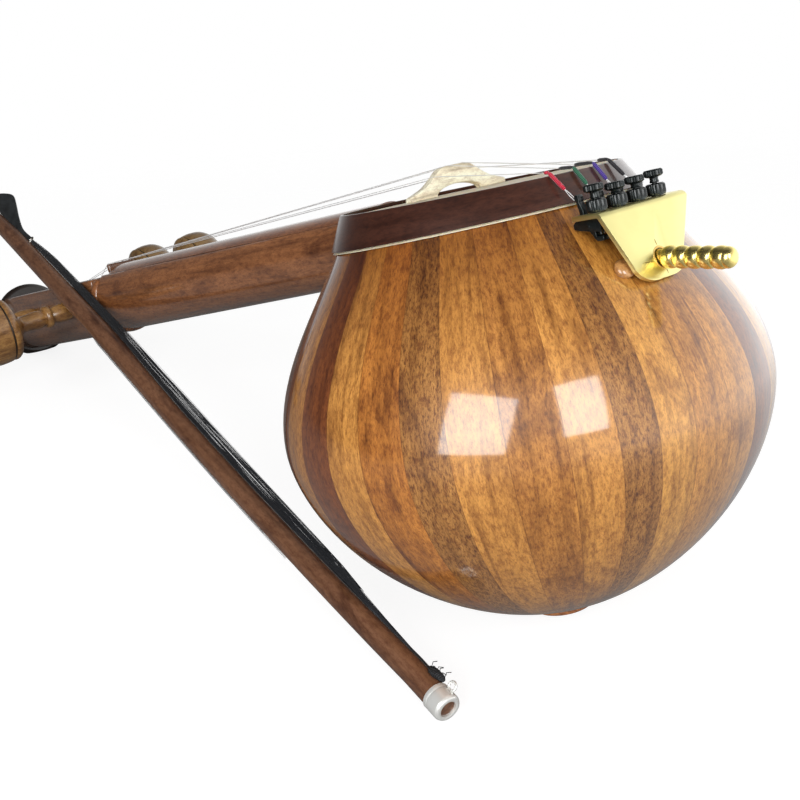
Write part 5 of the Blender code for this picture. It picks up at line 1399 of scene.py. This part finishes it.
class KAMANCHEH_OT_tuners(bpy.types.Operator):
    """Make the four fine tuners: cheeked body, bell-crank lever, knurled collar and thumb screw"""

    bl_idname = "kamancheh.tuners"
    bl_label = "Fine tuners"

    def execute(self, context):
        black = blackened("blackened_steel")
        for number, place in enumerate(tuner_places()):
            tag = "_%d" % (number + 1)
            # Blanks have even numbers, and what is carved from them the next odd one
            carving = ".%03d" % (2 * number + 1)
            at = INSTRUMENT @ Matrix.Translation(place)
            pivot = lever_pivot(place) - place
            show(self.body("blank" + carving, pivot), black, "black_metal", "tuner_body" + tag, at)
            crank = at @ Matrix.Translation(pivot) @ Matrix.Rotation(pi / 2, 4, "X")
            lever = self.lever("crank" + carving)
            show(lever, black, "black_metal", "tuner_lever" + tag, crank, "tuner_lever" + tag)
            show(self.collar(tag), black, "black_metal", "tuner_collar" + tag, at)
            screw = self.screw(tag, TUNER_HEAD_LIFTS[number])
            show(screw, black, "black_metal", "tuner_screw" + tag, at, "tuner_screw" + tag)
        return {"FINISHED"}

    def body(self, name, pivot):
        """The block under the flange, with its cheeks, tube and pin, and a wedge that reaches forward, partly
        body and partly painted shadow.
        """
        under = -BRACKET_THICKNESS - 0.2 * MM
        cheek = LEVER_THICKNESS / 2 + 0.2 * MM
        half = cheek + 1.0 * MM
        front, bottom, back = pivot.x - 1.3 * MM, pivot.z - 1.3 * MM, 2.2 * MM
        gap_low = (front - 8 * MM, -cheek, bottom - 4 * MM)
        gap = block("gap", gap_low, (pivot.x + 1.9 * MM, cheek, under + 1 * MM))
        pin = plain_rod("pin", 0.6 * MM, -half - 0.15 * MM, half + 0.15 * MM)
        tools = [
            joined(plain_rod("tube", TUNER_TUBE_RADIUS, under - 0.5 * MM, COLLAR_NUT_HEIGHT)), cut(gap),
            cut(plain_rod("bore", TUNER_SCREW_RADIUS + 0.2 * MM, -12 * MM, 12 * MM)),
            joined(pin, along(pivot, (0, 1, 0)))]
        # The forward wedge is partly the tuner's body and partly painted shadow under the flange.
        side = [
            (back, under), (front - 3.4 * MM, under), (front - 4.6 * MM, under - 1.0 * MM),
            (front - 4.4 * MM, under - 2.6 * MM), (front - 0.6 * MM, bottom), (back, bottom - 1.0 * MM)]
        blank = slab("blank", side, 2 * half)
        blank.transform(Matrix.Rotation(pi / 2, 4, "X"))
        return carved(name, blank, tools, 0.2 * MM, 45.0)

    def lever(self, name):
        """The bell crank with the string's hook."""
        foot = (BRACKET_THICKNESS + LEVER_PIVOT_DROP - TUNER_SCREW_REACH) / MM - 2.2
        reach = (TUNER_SETBACK - LEVER_PIVOT_SETBACK) / MM
        rise, hook = HOOK_RISE / MM, -HOOK_LEAN / MM
        outline = [
            (reach + 1.6, foot), (reach + 1.6, foot - 1.6), (reach - 1.2, foot - 1.6),
            (reach - 2.1, foot - 0.6),
            (-1.0, -1.4), (-1.7, -0.5), (-2.1, 1.4), (-3.6, 3.0), (-3.6, 5.6), (hook - 3.6, rise),
            (hook - 3.0, rise + 0.9), (hook - 1.8, rise + 0.6), (hook - 1.5, rise - 0.6),
            (hook - 1.7, rise - 1.6),
            (-1.8, 5.2), (-1.9, 1.8), (0.0, 1.6), (1.1, 1.1), (1.5, 0.0), (1.4, -1.4), (reach - 1.2, foot)]
        hole = plain_rod("pin_hole", 0.8 * MM, -4 * MM, 4 * MM)
        blank = slab("crank", [(x * MM, z * MM) for x, z in outline[::-1]], LEVER_THICKNESS)
        return carved(name, blank, [cut(hole)], 0.2 * MM, 40.0)

    def collar(self, tag):
        """The knurled nut on the flange."""
        bore, radius, tall = TUNER_TUBE_RADIUS + 0.2 * MM, COLLAR_NUT_RADIUS * KNURL_SWELL, COLLAR_NUT_HEIGHT
        profile = [
            (bore, tall), (radius * 0.78, tall), (radius * 0.93, tall - 0.35 * MM), (radius, tall - 0.9 * MM),
            (radius, 1.1 * MM), (radius * 0.93, 0.5 * MM), (radius * 0.9, 0.2 * MM), (bore, 0.2 * MM)]
        ridges = knurl(26, 0.07, 0.6 * MM, tall - 0.5 * MM)
        return turned("tuner_knurl" + tag, profile, 104, 30.0, ridges)

    def screw(self, tag, lift):
        """The thumb screw with its knurled head."""
        start = COLLAR_NUT_HEIGHT + 0.2 * MM
        head = start + lift
        top = head + TUNER_HEAD_HEIGHT
        radius, shaft, reach = TUNER_HEAD_RADIUS * KNURL_SWELL, TUNER_SCREW_RADIUS, TUNER_SCREW_REACH
        profile = [
            (0.0, top - 0.25 * MM), (radius * 0.45, top - 0.2 * MM), (radius * 0.55, top),
            (radius * 0.84, top), (radius, top - 0.5 * MM), (radius, head + 0.5 * MM), (radius * 0.8, head),
            (1.5 * MM, head - 0.3 * MM), (1.4 * MM, (head + start) / 2), (1.6 * MM, start + 0.3 * MM),
            (1.5 * MM, start), (shaft, start), (shaft, -reach + 0.3 * MM), (shaft * 0.7, -reach),
            (0.0, -reach)]
        ridges = knurl(24, 0.08, head + 0.2 * MM, top - 0.1 * MM)
        return turned("tuner_thumb" + tag, profile, 96, 30.0, ridges)


def string_route(number):
    """Route of a string from its peg over the nut and bridge, and its silk's start, edge and hook."""
    share = number - 1.5
    thin = STRING_RADII[number]
    nut_y, bridge_y = STRING_SPACING_AT_NUT * share, STRING_SPACING_AT_BRIDGE * share
    hook = tuner_places()[number]
    nut_z, nut_radius = neck_axis(NUT_X)
    nut_top = nut_z + nut_radius + NUT_RISE + SEAT * 0.3 + thin
    drop = (bridge_y / BRIDGE_HALF_WIDTH) ** 2 * BRIDGE_HEIGHT * 1.42
    bridge_top = SKIN_TOP + SEAT + BRIDGE_HEIGHT - drop + SEAT * 0.3 + thin
    setback, _, rake = PEG_PLACES[number]
    peg_y = nut_y * 0.9
    peg_z = PEG_AXIS_Z + peg_y * tan(rake) + PEG_SHAFT_RADIUS + SEAT + thin
    edge_y = bridge_y + (hook.y - bridge_y) * 0.8
    edge_x = sqrt(band_outer_radius(BAND_HEIGHT) ** 2 - edge_y ** 2)
    edge_z = BAND_HEIGHT * rim_fall(edge_x - SILK_APPROACH) + SEAT + 0.75 * MM
    pivot = lever_pivot(hook)
    hook_x = pivot.x - 3.6 * MM - HOOK_LEAN - 0.2 * MM - thin
    at_hook = Vector((hook_x, hook.y, pivot.z + HOOK_RISE - 0.8 * MM))
    bare = [
        Vector((NUT_X + setback, peg_y, peg_z)), Vector((NUT_X - NUT_LENGTH, nut_y, nut_top)),
        Vector((NUT_X - SEAT, nut_y, nut_top)),
        Vector((BRIDGE_X - BRIDGE_THICKNESS / 2, bridge_y, bridge_top)),
        Vector((BRIDGE_X + BRIDGE_THICKNESS / 2, bridge_y, bridge_top))]
    inside = Vector((edge_x - SILK_APPROACH, edge_y, edge_z + 0.8 * MM))
    over_edge = Vector((edge_x + 0.4 * MM, edge_y, edge_z))
    silk_from = over_edge.lerp(inside, SILK_STARTS[number] / (SILK_APPROACH + 0.4 * MM))
    return bare, silk_from, over_edge, at_hook


def silk(name, colour):
    """Dyed silk thread, wound round and round."""
    finish = Finish("silk_" + name, 0.6)
    thread = finish.node(
        "TexWave", {"Vector": finish.coordinates("grain"), "Scale": 520.0, "Distortion": 1.5},
        wave_type="BANDS", bands_direction="Y", wave_profile="SIN").outputs["Fac"]
    stops = ((0.0, shade(colour, 0.45)), (0.7, shade(colour)), (1.0, shade(colour, 1.25)))
    finish.send(finish.ramp(thread, stops), "Base Color")
    finish.bump(thread, 0.15 * MM, 0.8)
    finish.put(Sheen_Weight=0.4, Sheen_Roughness=0.4)
    return finish.material


class KAMANCHEH_OT_strings(bpy.types.Operator):
    """Draw the four steel strings with their coloured silk tails"""

    bl_idname = "kamancheh.strings"
    bl_label = "Strings"

    def execute(self, context):
        steel = metal("string_steel", "steel", roughness=0.35, tarnish=0.1, bare=0.25)
        radius = sizes().silk_radius
        for number in range(4):
            tag = "_%d" % (number + 1)
            thin = STRING_RADII[number] * STRING_DRAWN_SHARE
            bare, silk_from, over_edge, at_hook = string_route(number)
            points = bare + [silk_from]
            wire = tube("string_wire" + tag, points, [thin] * len(points), 8, 0)
            show(wire, steel, "steel", "string" + tag)
            end = over_edge.lerp(at_hook, 0.62)
            tip = [silk_from.lerp(over_edge, t / 8) for t in range(9)]
            tail = [over_edge.lerp(end, t / 14) for t in range(15)]
            dark = "silk_1" if number == 0 else "silk_4"
            for name, path, colour, share in (("tip", tip, dark, 0.86), ("tail", tail, "silk" + tag, 1.0)):
                from_end = [min(t, len(path) - 1 - t) for t in range(len(path))]
                taper = [radius * share * min(1.0, 0.55 + steps * 0.3) for steps in from_end]
                winding = tube("string_silk_%s%s" % (name, tag), path, taper, 14, 3)
                show(winding, silk(name + tag, colour), "steel")
            across = Vector((0.0, 0.55 * MM, 0.0))
            for name, side in (("a", across), ("b", -across)):
                bowed = [end.lerp(over_edge, 0.1), end.lerp(at_hook, 0.5) + side, at_hook + side * 0.8]
                show(tube("string_loop" + tag + name, bowed, [thin] * 3, 6, 5), steel, "steel")
        return {"FINISHED"}


def smooth(value):
    """A share from 0 to 1 that starts and ends gently."""
    share = max(0.0, min(1.0, value))
    return share * share * (3 - 2 * share)


def bow_radius(height):
    """The stick thickens from its lower end to the hand."""
    return BOW_RADIUS_LOW + (BOW_RADIUS_HIGH - BOW_RADIUS_LOW) * height / BOW_LENGTH


def bow_deeper(height):
    """How much deeper the hand's half of the stick is drawn on the hair's side."""
    fall = max(0.0, min(1.0, (620 * MM - height) / (60 * MM)))
    return BOW_DEEPER * smooth((height - 220 * MM) / (160 * MM)) * fall


def bow_sway(height):
    """How far the lower third of the stick bends away from the hair."""
    share = (height - SWAY_START) / (SWAY_END - SWAY_START)
    return SWAY * sin(pi * share ** 0.8) if 0.0 < share < 1.0 else 0.0


def wire_ring(name, radius, wire):
    """A wire ring about local Z."""
    return turned(name, arc((radius, 0.0), (wire, wire), 0.0, 2 * pi, 16)[:-1], 64)


class KAMANCHEH_OT_bow_stick(bpy.types.Operator):
    """Turn the bow's stick, with its nickel ferrule and eye"""

    bl_idname = "kamancheh.bow_stick"
    bl_label = "Bow stick and ferrule"

    def execute(self, context):
        shoulder, plug, top = FERRULE_DRAWN_LENGTH + 0.1 * MM, BOW_PLUG_RADIUS, BOW_LENGTH
        profile = [(0.0, top), (BOW_RADIUS_HIGH - 1.5 * MM, top), (BOW_RADIUS_HIGH, top - 2 * MM)]
        for step in range(50, -1, -1):
            height = shoulder + (top - 6 * MM - shoulder) * step / 50
            profile.append((bow_radius(height), height))
        profile += [
            (plug, shoulder - 0.05 * MM), (plug, 1.4 * MM), (plug - 0.4 * MM, 1.0 * MM), (0.0, 1.0 * MM)]
        mesh = turned("bow_turning", profile, 48)
        for vert in mesh.vertices:
            toward_hair = (1.0 + vert.co.x / bow_radius(vert.co.z)) / 2
            vert.co.x += bow_deeper(vert.co.z) * toward_hair - bow_sway(vert.co.z)
        wood = varnished_wood(
            "bow_wood", "dark_walnut", (3.4, 5.4, 5.6), (1.0, 1.0, 0.05), speckle=0.3, figure=0.95, coat=0.35,
            coat_roughness=0.22, roughness=0.45)
        show(mesh, wood, "dark_walnut", "bow_stick", BOW, "bow")
        # Partly matt, so the near-white colour stands in for the white the ferrule mirrors: a painted
        # reflection.
        nickel = metal("nickel", "nickel", 1.0, 0.40, (1.0, 1.0, 0.3), 0.08, 0.10, 0.55)
        inner, radius, tall = plug + 0.1 * MM, FERRULE_RADIUS, FERRULE_DRAWN_LENGTH
        profile = eased([
            (inner, tall), (radius, tall), (radius, tall * 0.82), (radius - 0.15 * MM, tall * 0.76),
            (radius, tall * 0.70), (radius, 1.4 * MM), (radius - 0.5 * MM, 0.3 * MM), (inner + 0.7 * MM, 0.0),
            (inner, 0.3 * MM)], 0.3 * MM)
        show(turned("ferrule_turning", profile, 64), nickel, "nickel", "bow_ferrule", BOW, "bow")
        eye_at = Vector((radius + EYE_RADIUS + EYE_WIRE - 0.5 * MM, 0.0, FERRULE_LENGTH * 0.5 - 1.2 * MM))
        eye = wire_ring("eye_bent", EYE_RADIUS, EYE_WIRE)
        show(eye, nickel, "nickel", "bow_eye", BOW @ along(eye_at, (0, 1, 0)), "bow")
        return {"FINISHED"}


def hair_edges(height):
    """Inner and outer edge and half thickness of the strip of hair at a height along the bow."""
    inner = bow_radius(height) + SEAT
    outer = inner + HAIR_WIDTH_LOW + (HAIR_WIDTH_HIGH - HAIR_WIDTH_LOW) * (1.0 - exp(-height / HAIR_SPREAD))
    gather = max(0.0, (height - HAIR_GATHER) / (HAIR_END - HAIR_GATHER))
    outer += (HAIR_END_OFFSET + HAIR_END_WIDTH / 2 - outer) * gather
    deeper = bow_deeper(height)
    inner += deeper + (HAIR_END_OFFSET - HAIR_END_WIDTH / 2 - inner - deeper) * gather ** 4
    thick = HAIR_THICKNESS / 2 * (0.6 + 0.4 * min(1.0, height / (2 * HAIR_SPREAD)))
    return inner - bow_sway(height), outer - bow_sway(height), thick


def hair_body(height):
    """Share of the hair's width that its close part takes: a thin line low down, most of it at the hand."""
    return 0.26 + 0.66 * smooth((height - 230 * MM) / (250 * MM))


def strand_curve(name, lines, radius, finish):
    """Many thin strands of the bow as one curve object."""
    curve = bpy.data.curves.new(name, "CURVE")
    curve.dimensions = "3D"
    curve.bevel_depth = radius
    curve.bevel_resolution = 1
    curve.use_fill_caps = True
    for points in lines:
        spline = curve.splines.new("POLY")
        spline.points.add(len(points) - 1)
        for point, place in zip(spline.points, points):
            point.co = (*(BOW @ place), 1.0)
    curve.materials.append(finish)
    holder = new_object(name, curve)
    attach(holder, "bow")
    return holder


def horsehair():
    """Black hair, combed along the bow, with painted grey sheen in its colour."""
    finish = Finish("horsehair", 0.42)
    fine = finish.clouds(finish.coordinates("place", (1.0, 1.0, 0.012)), 1900.0, 3.0)
    # The lighter grey stops are painted sheen on the black hair.
    stops = ((0.40, shade("horsehair")), (0.62, shade("horsehair", 3.0)), (0.74, shade("horsehair", 9.0)))
    finish.send(finish.ramp(fine, stops), "Base Color")
    finish.bump(fine, 0.12 * MM, 0.6)
    finish.put(Sheen_Weight=0.2, Sheen_Roughness=0.3)
    return finish.material


def binding_thread():
    """Dark thread wound round the hair's knot."""
    finish = Finish("binding_thread", 0.7)
    wound = finish.node(
        "TexWave", {"Vector": finish.coordinates(), "Scale": 420.0},
        wave_type="BANDS", bands_direction="Z").outputs["Fac"]
    stops = ((0.2, shade("horsehair", 0.7)), (0.8, shade("horsehair", 2.2)))
    finish.send(finish.ramp(wound, stops), "Base Color")
    finish.bump(wound, 0.25 * MM, 0.9)
    return finish.material


class KAMANCHEH_OT_bow_hair(bpy.types.Operator):
    """Lay the bow's horsehair as a combed strip with single strands over it, tied at the ferrule"""

    bl_idname = "kamancheh.bow_hair"
    bl_label = "Bow hair and binding"

    def execute(self, context):
        hair = horsehair()
        self.strip(hair)
        self.strands(hair)
        thread = binding_thread()
        self.knot(thread)
        tuft = []
        for number in range(9):
            way = Vector((cos(number * 2.4), sin(number * 2.4), 0.3))
            height = HAIR_KNOT_TOP - 1.5 * MM - number * 0.7 * MM
            root = Vector((bow_radius(0.02) + 1.6 * MM, (number - 4) * 0.3 * MM, height))
            bend = root + way * 0.9 * MM + Vector((1.0 * MM, 0.0, 0.5 * MM))
            tuft.append([root, bend, root + way * 1.8 * MM + Vector((1.4 * MM, 0.0, -1.2 * MM))])
        strand_curve("binding_ends", tuft, 0.16 * MM, thread)
        return {"FINISHED"}

    def strip(self, hair):
        """The close part of the hair, a little uneven from combing."""
        rings = []
        start = HAIR_KNOT_TOP - 3.0 * MM
        for step in range(121):
            height = start + (HAIR_END - start) * step / 120
            inner, outer, thick = hair_edges(height)
            outer = inner + (outer - inner) * hair_body(height)
            ring = []
            for corner in range(40):
                angle = 2 * pi * corner / 40
                comb = 1.0 + 0.10 * noise.noise(Vector((corner * 1.7, 3.1, height * 9.0)))
                uneven = 1.0 + 0.05 * noise.noise(Vector((cos(angle) * 2, 9.0, height * 30)))
                across = (outer + inner) / 2 + (outer - inner) / 2 * uneven * cos(angle)
                ring.append((across, thick * sin(angle) * comb, height))
            rings.append(ring)
        show(ring_loft("hair_strip", rings, 70.0), hair, "horsehair", "bow_hair", BOW, "bow")

    def knot(self, thread):
        """The lumpy knot that ties the hair to the stick."""
        rings = []
        for step in range(17):
            share = step / 16
            height = HAIR_KNOT_BOTTOM + (HAIR_KNOT_TOP - HAIR_KNOT_BOTTOM) * share
            swell = max(0.08, sin(pi * (0.04 + 0.92 * share))) ** 0.5

            def place(angle):
                lump = 1.0 + 0.30 * noise.noise(Vector((cos(angle) * 1.5, sin(angle) * 1.5, height * 420)))
                across = bow_radius(height) + 0.9 * MM + 1.7 * MM * cos(angle) * lump * swell
                return across, 2.6 * MM * sin(angle) * lump * swell, height

            rings.append(ring_of(32, place))
        show(ring_loft("binding_knot", rings, 70.0), thread, "horsehair", "bow_binding", BOW, "bow")

    def strands(self, hair):
        """Single hairs along the strip, some of them loose and some behind the stick."""
        lines = []
        for number in range(sizes().hair_strands):
            share = (number * 0.61803) % 1.0
            side = 1.0 if number % 2 else -1.0
            loose = number % 11 == 0
            behind = number % 4 == 1
            first = HAIR_START + 60 * MM * ((number * 0.377) % 1.0) + (90 * MM if behind else 0.0)
            last = HAIR_END - 2 * MM - 40 * MM * ((number * 0.731) % 1.0) - (150 * MM if behind else 0.0)
            points = []
            for step in range(27):
                height = first + (last - first) * step / 26
                inner, outer, thick = hair_edges(height)
                across = share + 0.05 * noise.noise(Vector((number * 3.3, height * 14, 0.0)))
                across = max(0.02, min(0.98, across)) * min(1.0, 0.1 + (height - HAIR_START) / (70 * MM))
                x = inner + (outer - inner) * across
                y = side * thick * (sqrt(max(0.0, 1 - (2 * across - 1) ** 2)) + 0.04)
                if behind:
                    x = -bow_radius(height) - bow_sway(height) - 0.15 * MM - 0.6 * MM * share
                    y = ((number * 0.29) % 1.0 - 0.5) * 3.0 * MM
                elif loose:
                    swell = sin(pi * step / 26)
                    x += 1.3 * MM * swell * noise.noise(Vector((number, height * 5, 4.0)))
                    y += side * 0.6 * MM * swell
                points.append(Vector((x, y, height)))
            lines.append(points)
        if lines:
            strand_curve("hair_strands", lines, sizes().hair_radius, hair)


def strap_leather():
    """Black hide with pores and soft folds."""
    finish = Finish("strap_leather", 0.55)
    hide = finish.node("TexVoronoi", {"Vector": finish.coordinates(), "Scale": 900.0}, feature="F1")
    folds = finish.clouds(finish.coordinates("place", (1.0, 1.0, 0.4)), 140.0, distortion=0.4)
    stops = ((0.35, shade("leather")), (0.75, shade("leather", (2.6, 2.8, 2.8))))
    finish.send(finish.ramp(folds, stops), "Base Color")
    finish.roughness_from(folds, 0.42, 0.7)
    finish.bump(hide.outputs["Distance"], 0.10 * MM, 0.5)
    finish.bump(folds, 0.4 * MM, 0.5)
    return finish.material


class KAMANCHEH_OT_bow_strap(bpy.types.Operator):
    """Fold the black leather strap through the bow's ring"""

    bl_idname = "kamancheh.bow_strap"
    bl_label = "Bow strap and ring"

    def execute(self, context):
        nickel = metal("ring_nickel", "ring_nickel", roughness=0.2, tarnish=0.15)
        ring_at = Vector((HAIR_END_OFFSET, 0.0, HAIR_END + SEAT + RING_WIRE + RING_RADIUS))
        ring = wire_ring("ring_bent", RING_RADIUS, RING_WIRE)
        show(ring, nickel, "nickel", "bow_ring", BOW @ along(ring_at, (0, 1, 0)), "bow")
        start = HAIR_END + 2 * SEAT + 2 * RING_WIRE + 2 * RING_RADIUS
        rings = []
        for share, width in rounded(STRAP_SHAPE, 7):
            height = start + STRAP_LENGTH * share
            half = STRAP_WIDTH / 2 * width
            inner = bow_radius(height) + SEAT + 2.0 * MM * share ** 4
            inner += (HAIR_END_OFFSET - half - inner) * max(0.0, 1.0 - share / 0.2)
            thick = STRAP_THICKNESS / 2 * (0.6 + 0.4 * width)

            def place(angle):
                flat = abs(sin(angle)) ** 0.55 * (1 if sin(angle) > 0 else -1)
                crease = 1.0 - 0.16 * abs(noise.noise(Vector((cos(angle) * 1.6, flat, height * 60))))
                return inner + half + half * cos(angle), thick * flat * crease, height

            rings.append(ring_of(36, place))
        mesh = ring_loft("strap_folded", rings, 60.0)
        show(mesh, strap_leather(), "black_leather", "bow_strap", BOW, "bow")
        return {"FINISHED"}


class KAMANCHEH_OT_stage(bpy.types.Operator):
    """Set the pale floor, the soft lights, the white surroundings and the camera"""

    bl_idname = "kamancheh.stage"
    bl_label = "Floor, light and camera"

    def execute(self, context):
        self.floor()
        self.surroundings()
        bowl_side = INSTRUMENT @ Vector((0.06, -0.04, -0.05))
        over_neck = Vector((-0.05, 0.1, 0.1))
        self.softbox("softbox_left", bowl_side, (-70.0, 19.0), 1.25, (0.68, 0.82), 12.0)
        self.softbox("softbox_right", bowl_side, (-20.5, 25.0), 1.25, (0.44, 0.74), 7.6)
        self.softbox("softbox_top", over_neck, (110.0, 68.0), 1.6, (1.6, 1.6), 1.2)
        data = bpy.data.cameras.new("camera")
        data.lens = LENS_MM
        data.sensor_width = SENSOR_MM
        data.clip_start = 0.01
        scene = bpy.context.scene
        scene.camera = new_object("camera", data, CAMERA)
        scene.view_settings.view_transform = "Standard"
        return {"FINISHED"}

    def softbox(self, name, target, bearing, distance, size, power):
        """A soft light, at a bearing of azimuth and elevation, that looks at a point."""
        data = bpy.data.lights.new(name, "AREA")
        data.shape = "RECTANGLE"
        data.size, data.size_y = size
        data.energy = power
        lamp = new_object(name, data)
        turn, rise = radians(bearing[0]), radians(bearing[1])
        out = Vector((cos(rise) * cos(turn), cos(rise) * sin(turn), sin(rise)))
        lamp.location = target + out * distance
        lamp.rotation_mode = "QUATERNION"
        lamp.rotation_quaternion = (-out).to_track_quat("-Z", "Y")

    def floor(self):
        """A large plain sheet that keeps the shadow, is white to the camera and bright in the far varnish."""
        bm = bmesh.new()
        bmesh.ops.create_grid(bm, x_segments=4, y_segments=4, size=4.0)
        mesh = bpy.data.meshes.new("floor")
        bm.to_mesh(mesh)
        bm.free()
        floor = new_object("floor", mesh)
        floor.location.z = -0.2 * MM
        material = bpy.data.materials.new("floor")
        nodes = Nodes(material)
        nodes.tree.nodes.clear()
        rays = nodes.node("LightPath").outputs
        place = nodes.node("TexCoord").outputs["Object"]
        far = nodes.node(
            "VectorMath", {0: place, 1: FLOOR_FAR_SIDE}, operation="DOT_PRODUCT").outputs["Value"]
        mirrored = nodes.smooth_step(far, 0.05, 0.75, 0.0, FLOOR_MIRRORED)
        seen = nodes.node("Math", {0: rays["Is Camera Ray"], 1: FLOOR_SEEN}, operation="MULTIPLY").outputs[0]
        strength = nodes.node(
            "Math", {0: rays["Is Glossy Ray"], 1: mirrored, 2: seen}, operation="MULTIPLY_ADD").outputs[0]
        glow = nodes.node("Emission", {"Color": (*EVEN, 1.0), "Strength": strength}).outputs[0]
        diffuse = nodes.node("BsdfDiffuse", {"Color": (*shade("floor"), 1.0)}).outputs[0]
        sheet = nodes.node("AddShader", {0: diffuse, 1: glow}).outputs[0]
        reach = nodes.node("VectorMath", {0: place}, operation="LENGTH").outputs["Value"]
        fade = nodes.smooth_step(reach, 0.40, 1.50, 0.0, 1.0)
        clear = nodes.node("BsdfTransparent").outputs[0]
        nodes.node("OutputMaterial", {
            "Surface": nodes.node("MixShader", {0: fade, 1: sheet, 2: clear}).outputs[0]})
        mesh.materials.append(material)

    def surroundings(self):
        """White to the camera, brighter on the far side in reflections, and soft light on the object."""
        world = bpy.data.worlds.new("surroundings")
        bpy.context.scene.world = world
        nodes = Nodes(world)
        nodes.tree.nodes.clear()
        rays = nodes.node("LightPath").outputs
        bearing = nodes.node("TexCoord").outputs["Generated"]
        side = nodes.node(
            "VectorMath", {0: bearing, 1: SKY_FAR_SIDE}, operation="DOT_PRODUCT").outputs["Value"]
        strength = nodes.smooth_step(side, -0.70, 1.0, *SKY_MIRRORED)
        mirrored = nodes.node("Background", {"Strength": strength}).outputs[0]
        lit = nodes.node("Background", {"Strength": SKY_LIGHT}).outputs[0]
        seen = nodes.node("Background", {"Color": (*EVEN, 1.0)}).outputs[0]
        unseen = nodes.node("MixShader", {0: rays["Is Glossy Ray"], 1: lit, 2: mirrored}).outputs[0]
        nodes.node("OutputWorld", {
            "Surface": nodes.node("MixShader", {0: rays["Is Camera Ray"], 1: unseen, 2: seen}).outputs[0]})


PIECES = (
    KAMANCHEH_OT_bowl, KAMANCHEH_OT_rim, KAMANCHEH_OT_foot, KAMANCHEH_OT_neck, KAMANCHEH_OT_pegbox,
    KAMANCHEH_OT_head, KAMANCHEH_OT_pegs, KAMANCHEH_OT_bridge, KAMANCHEH_OT_bracket, KAMANCHEH_OT_spike,
    KAMANCHEH_OT_button, KAMANCHEH_OT_tuners, KAMANCHEH_OT_strings, KAMANCHEH_OT_bow_stick,
    KAMANCHEH_OT_bow_hair, KAMANCHEH_OT_bow_strap, KAMANCHEH_OT_stage)


class KAMANCHEH_PT_pieces(bpy.types.Panel):
    """The pieces, with the sizes and colours that they are made from"""

    bl_idname = "KAMANCHEH_PT_pieces"
    bl_label = "Kamancheh"
    bl_space_type = "VIEW_3D"
    bl_region_type = "UI"
    bl_category = "Kamancheh"

    def draw(self, context):
        column = self.layout.column(align=True)
        for piece in PIECES:
            column.operator(piece.bl_idname)
        for group in (context.scene.kamancheh_sizes, context.scene.kamancheh_colours):
            box = self.layout.box()
            for name in group.__annotations__:
                box.prop(group, name)


CLASSES = (KamanchehSizes, KamanchehColours, *PIECES, KAMANCHEH_PT_pieces)


def register():
    """Register the classes and attach the settings to the scene."""
    for thing in CLASSES:
        bpy.utils.register_class(thing)
    bpy.types.Scene.kamancheh_sizes = bpy.props.PointerProperty(type=KamanchehSizes)
    bpy.types.Scene.kamancheh_colours = bpy.props.PointerProperty(type=KamanchehColours)


def unregister():
    """Remove the settings and the classes."""
    del bpy.types.Scene.kamancheh_colours
    del bpy.types.Scene.kamancheh_sizes
    for thing in reversed(CLASSES):
        bpy.utils.unregister_class(thing)


def main():
    """Build every piece in order."""
    register()
    for piece in PIECES:
        group, name = piece.bl_idname.split(".")
        getattr(getattr(bpy.ops, group), name)()
    bpy.context.view_layer.update()


if __name__ == "__main__":
    main()
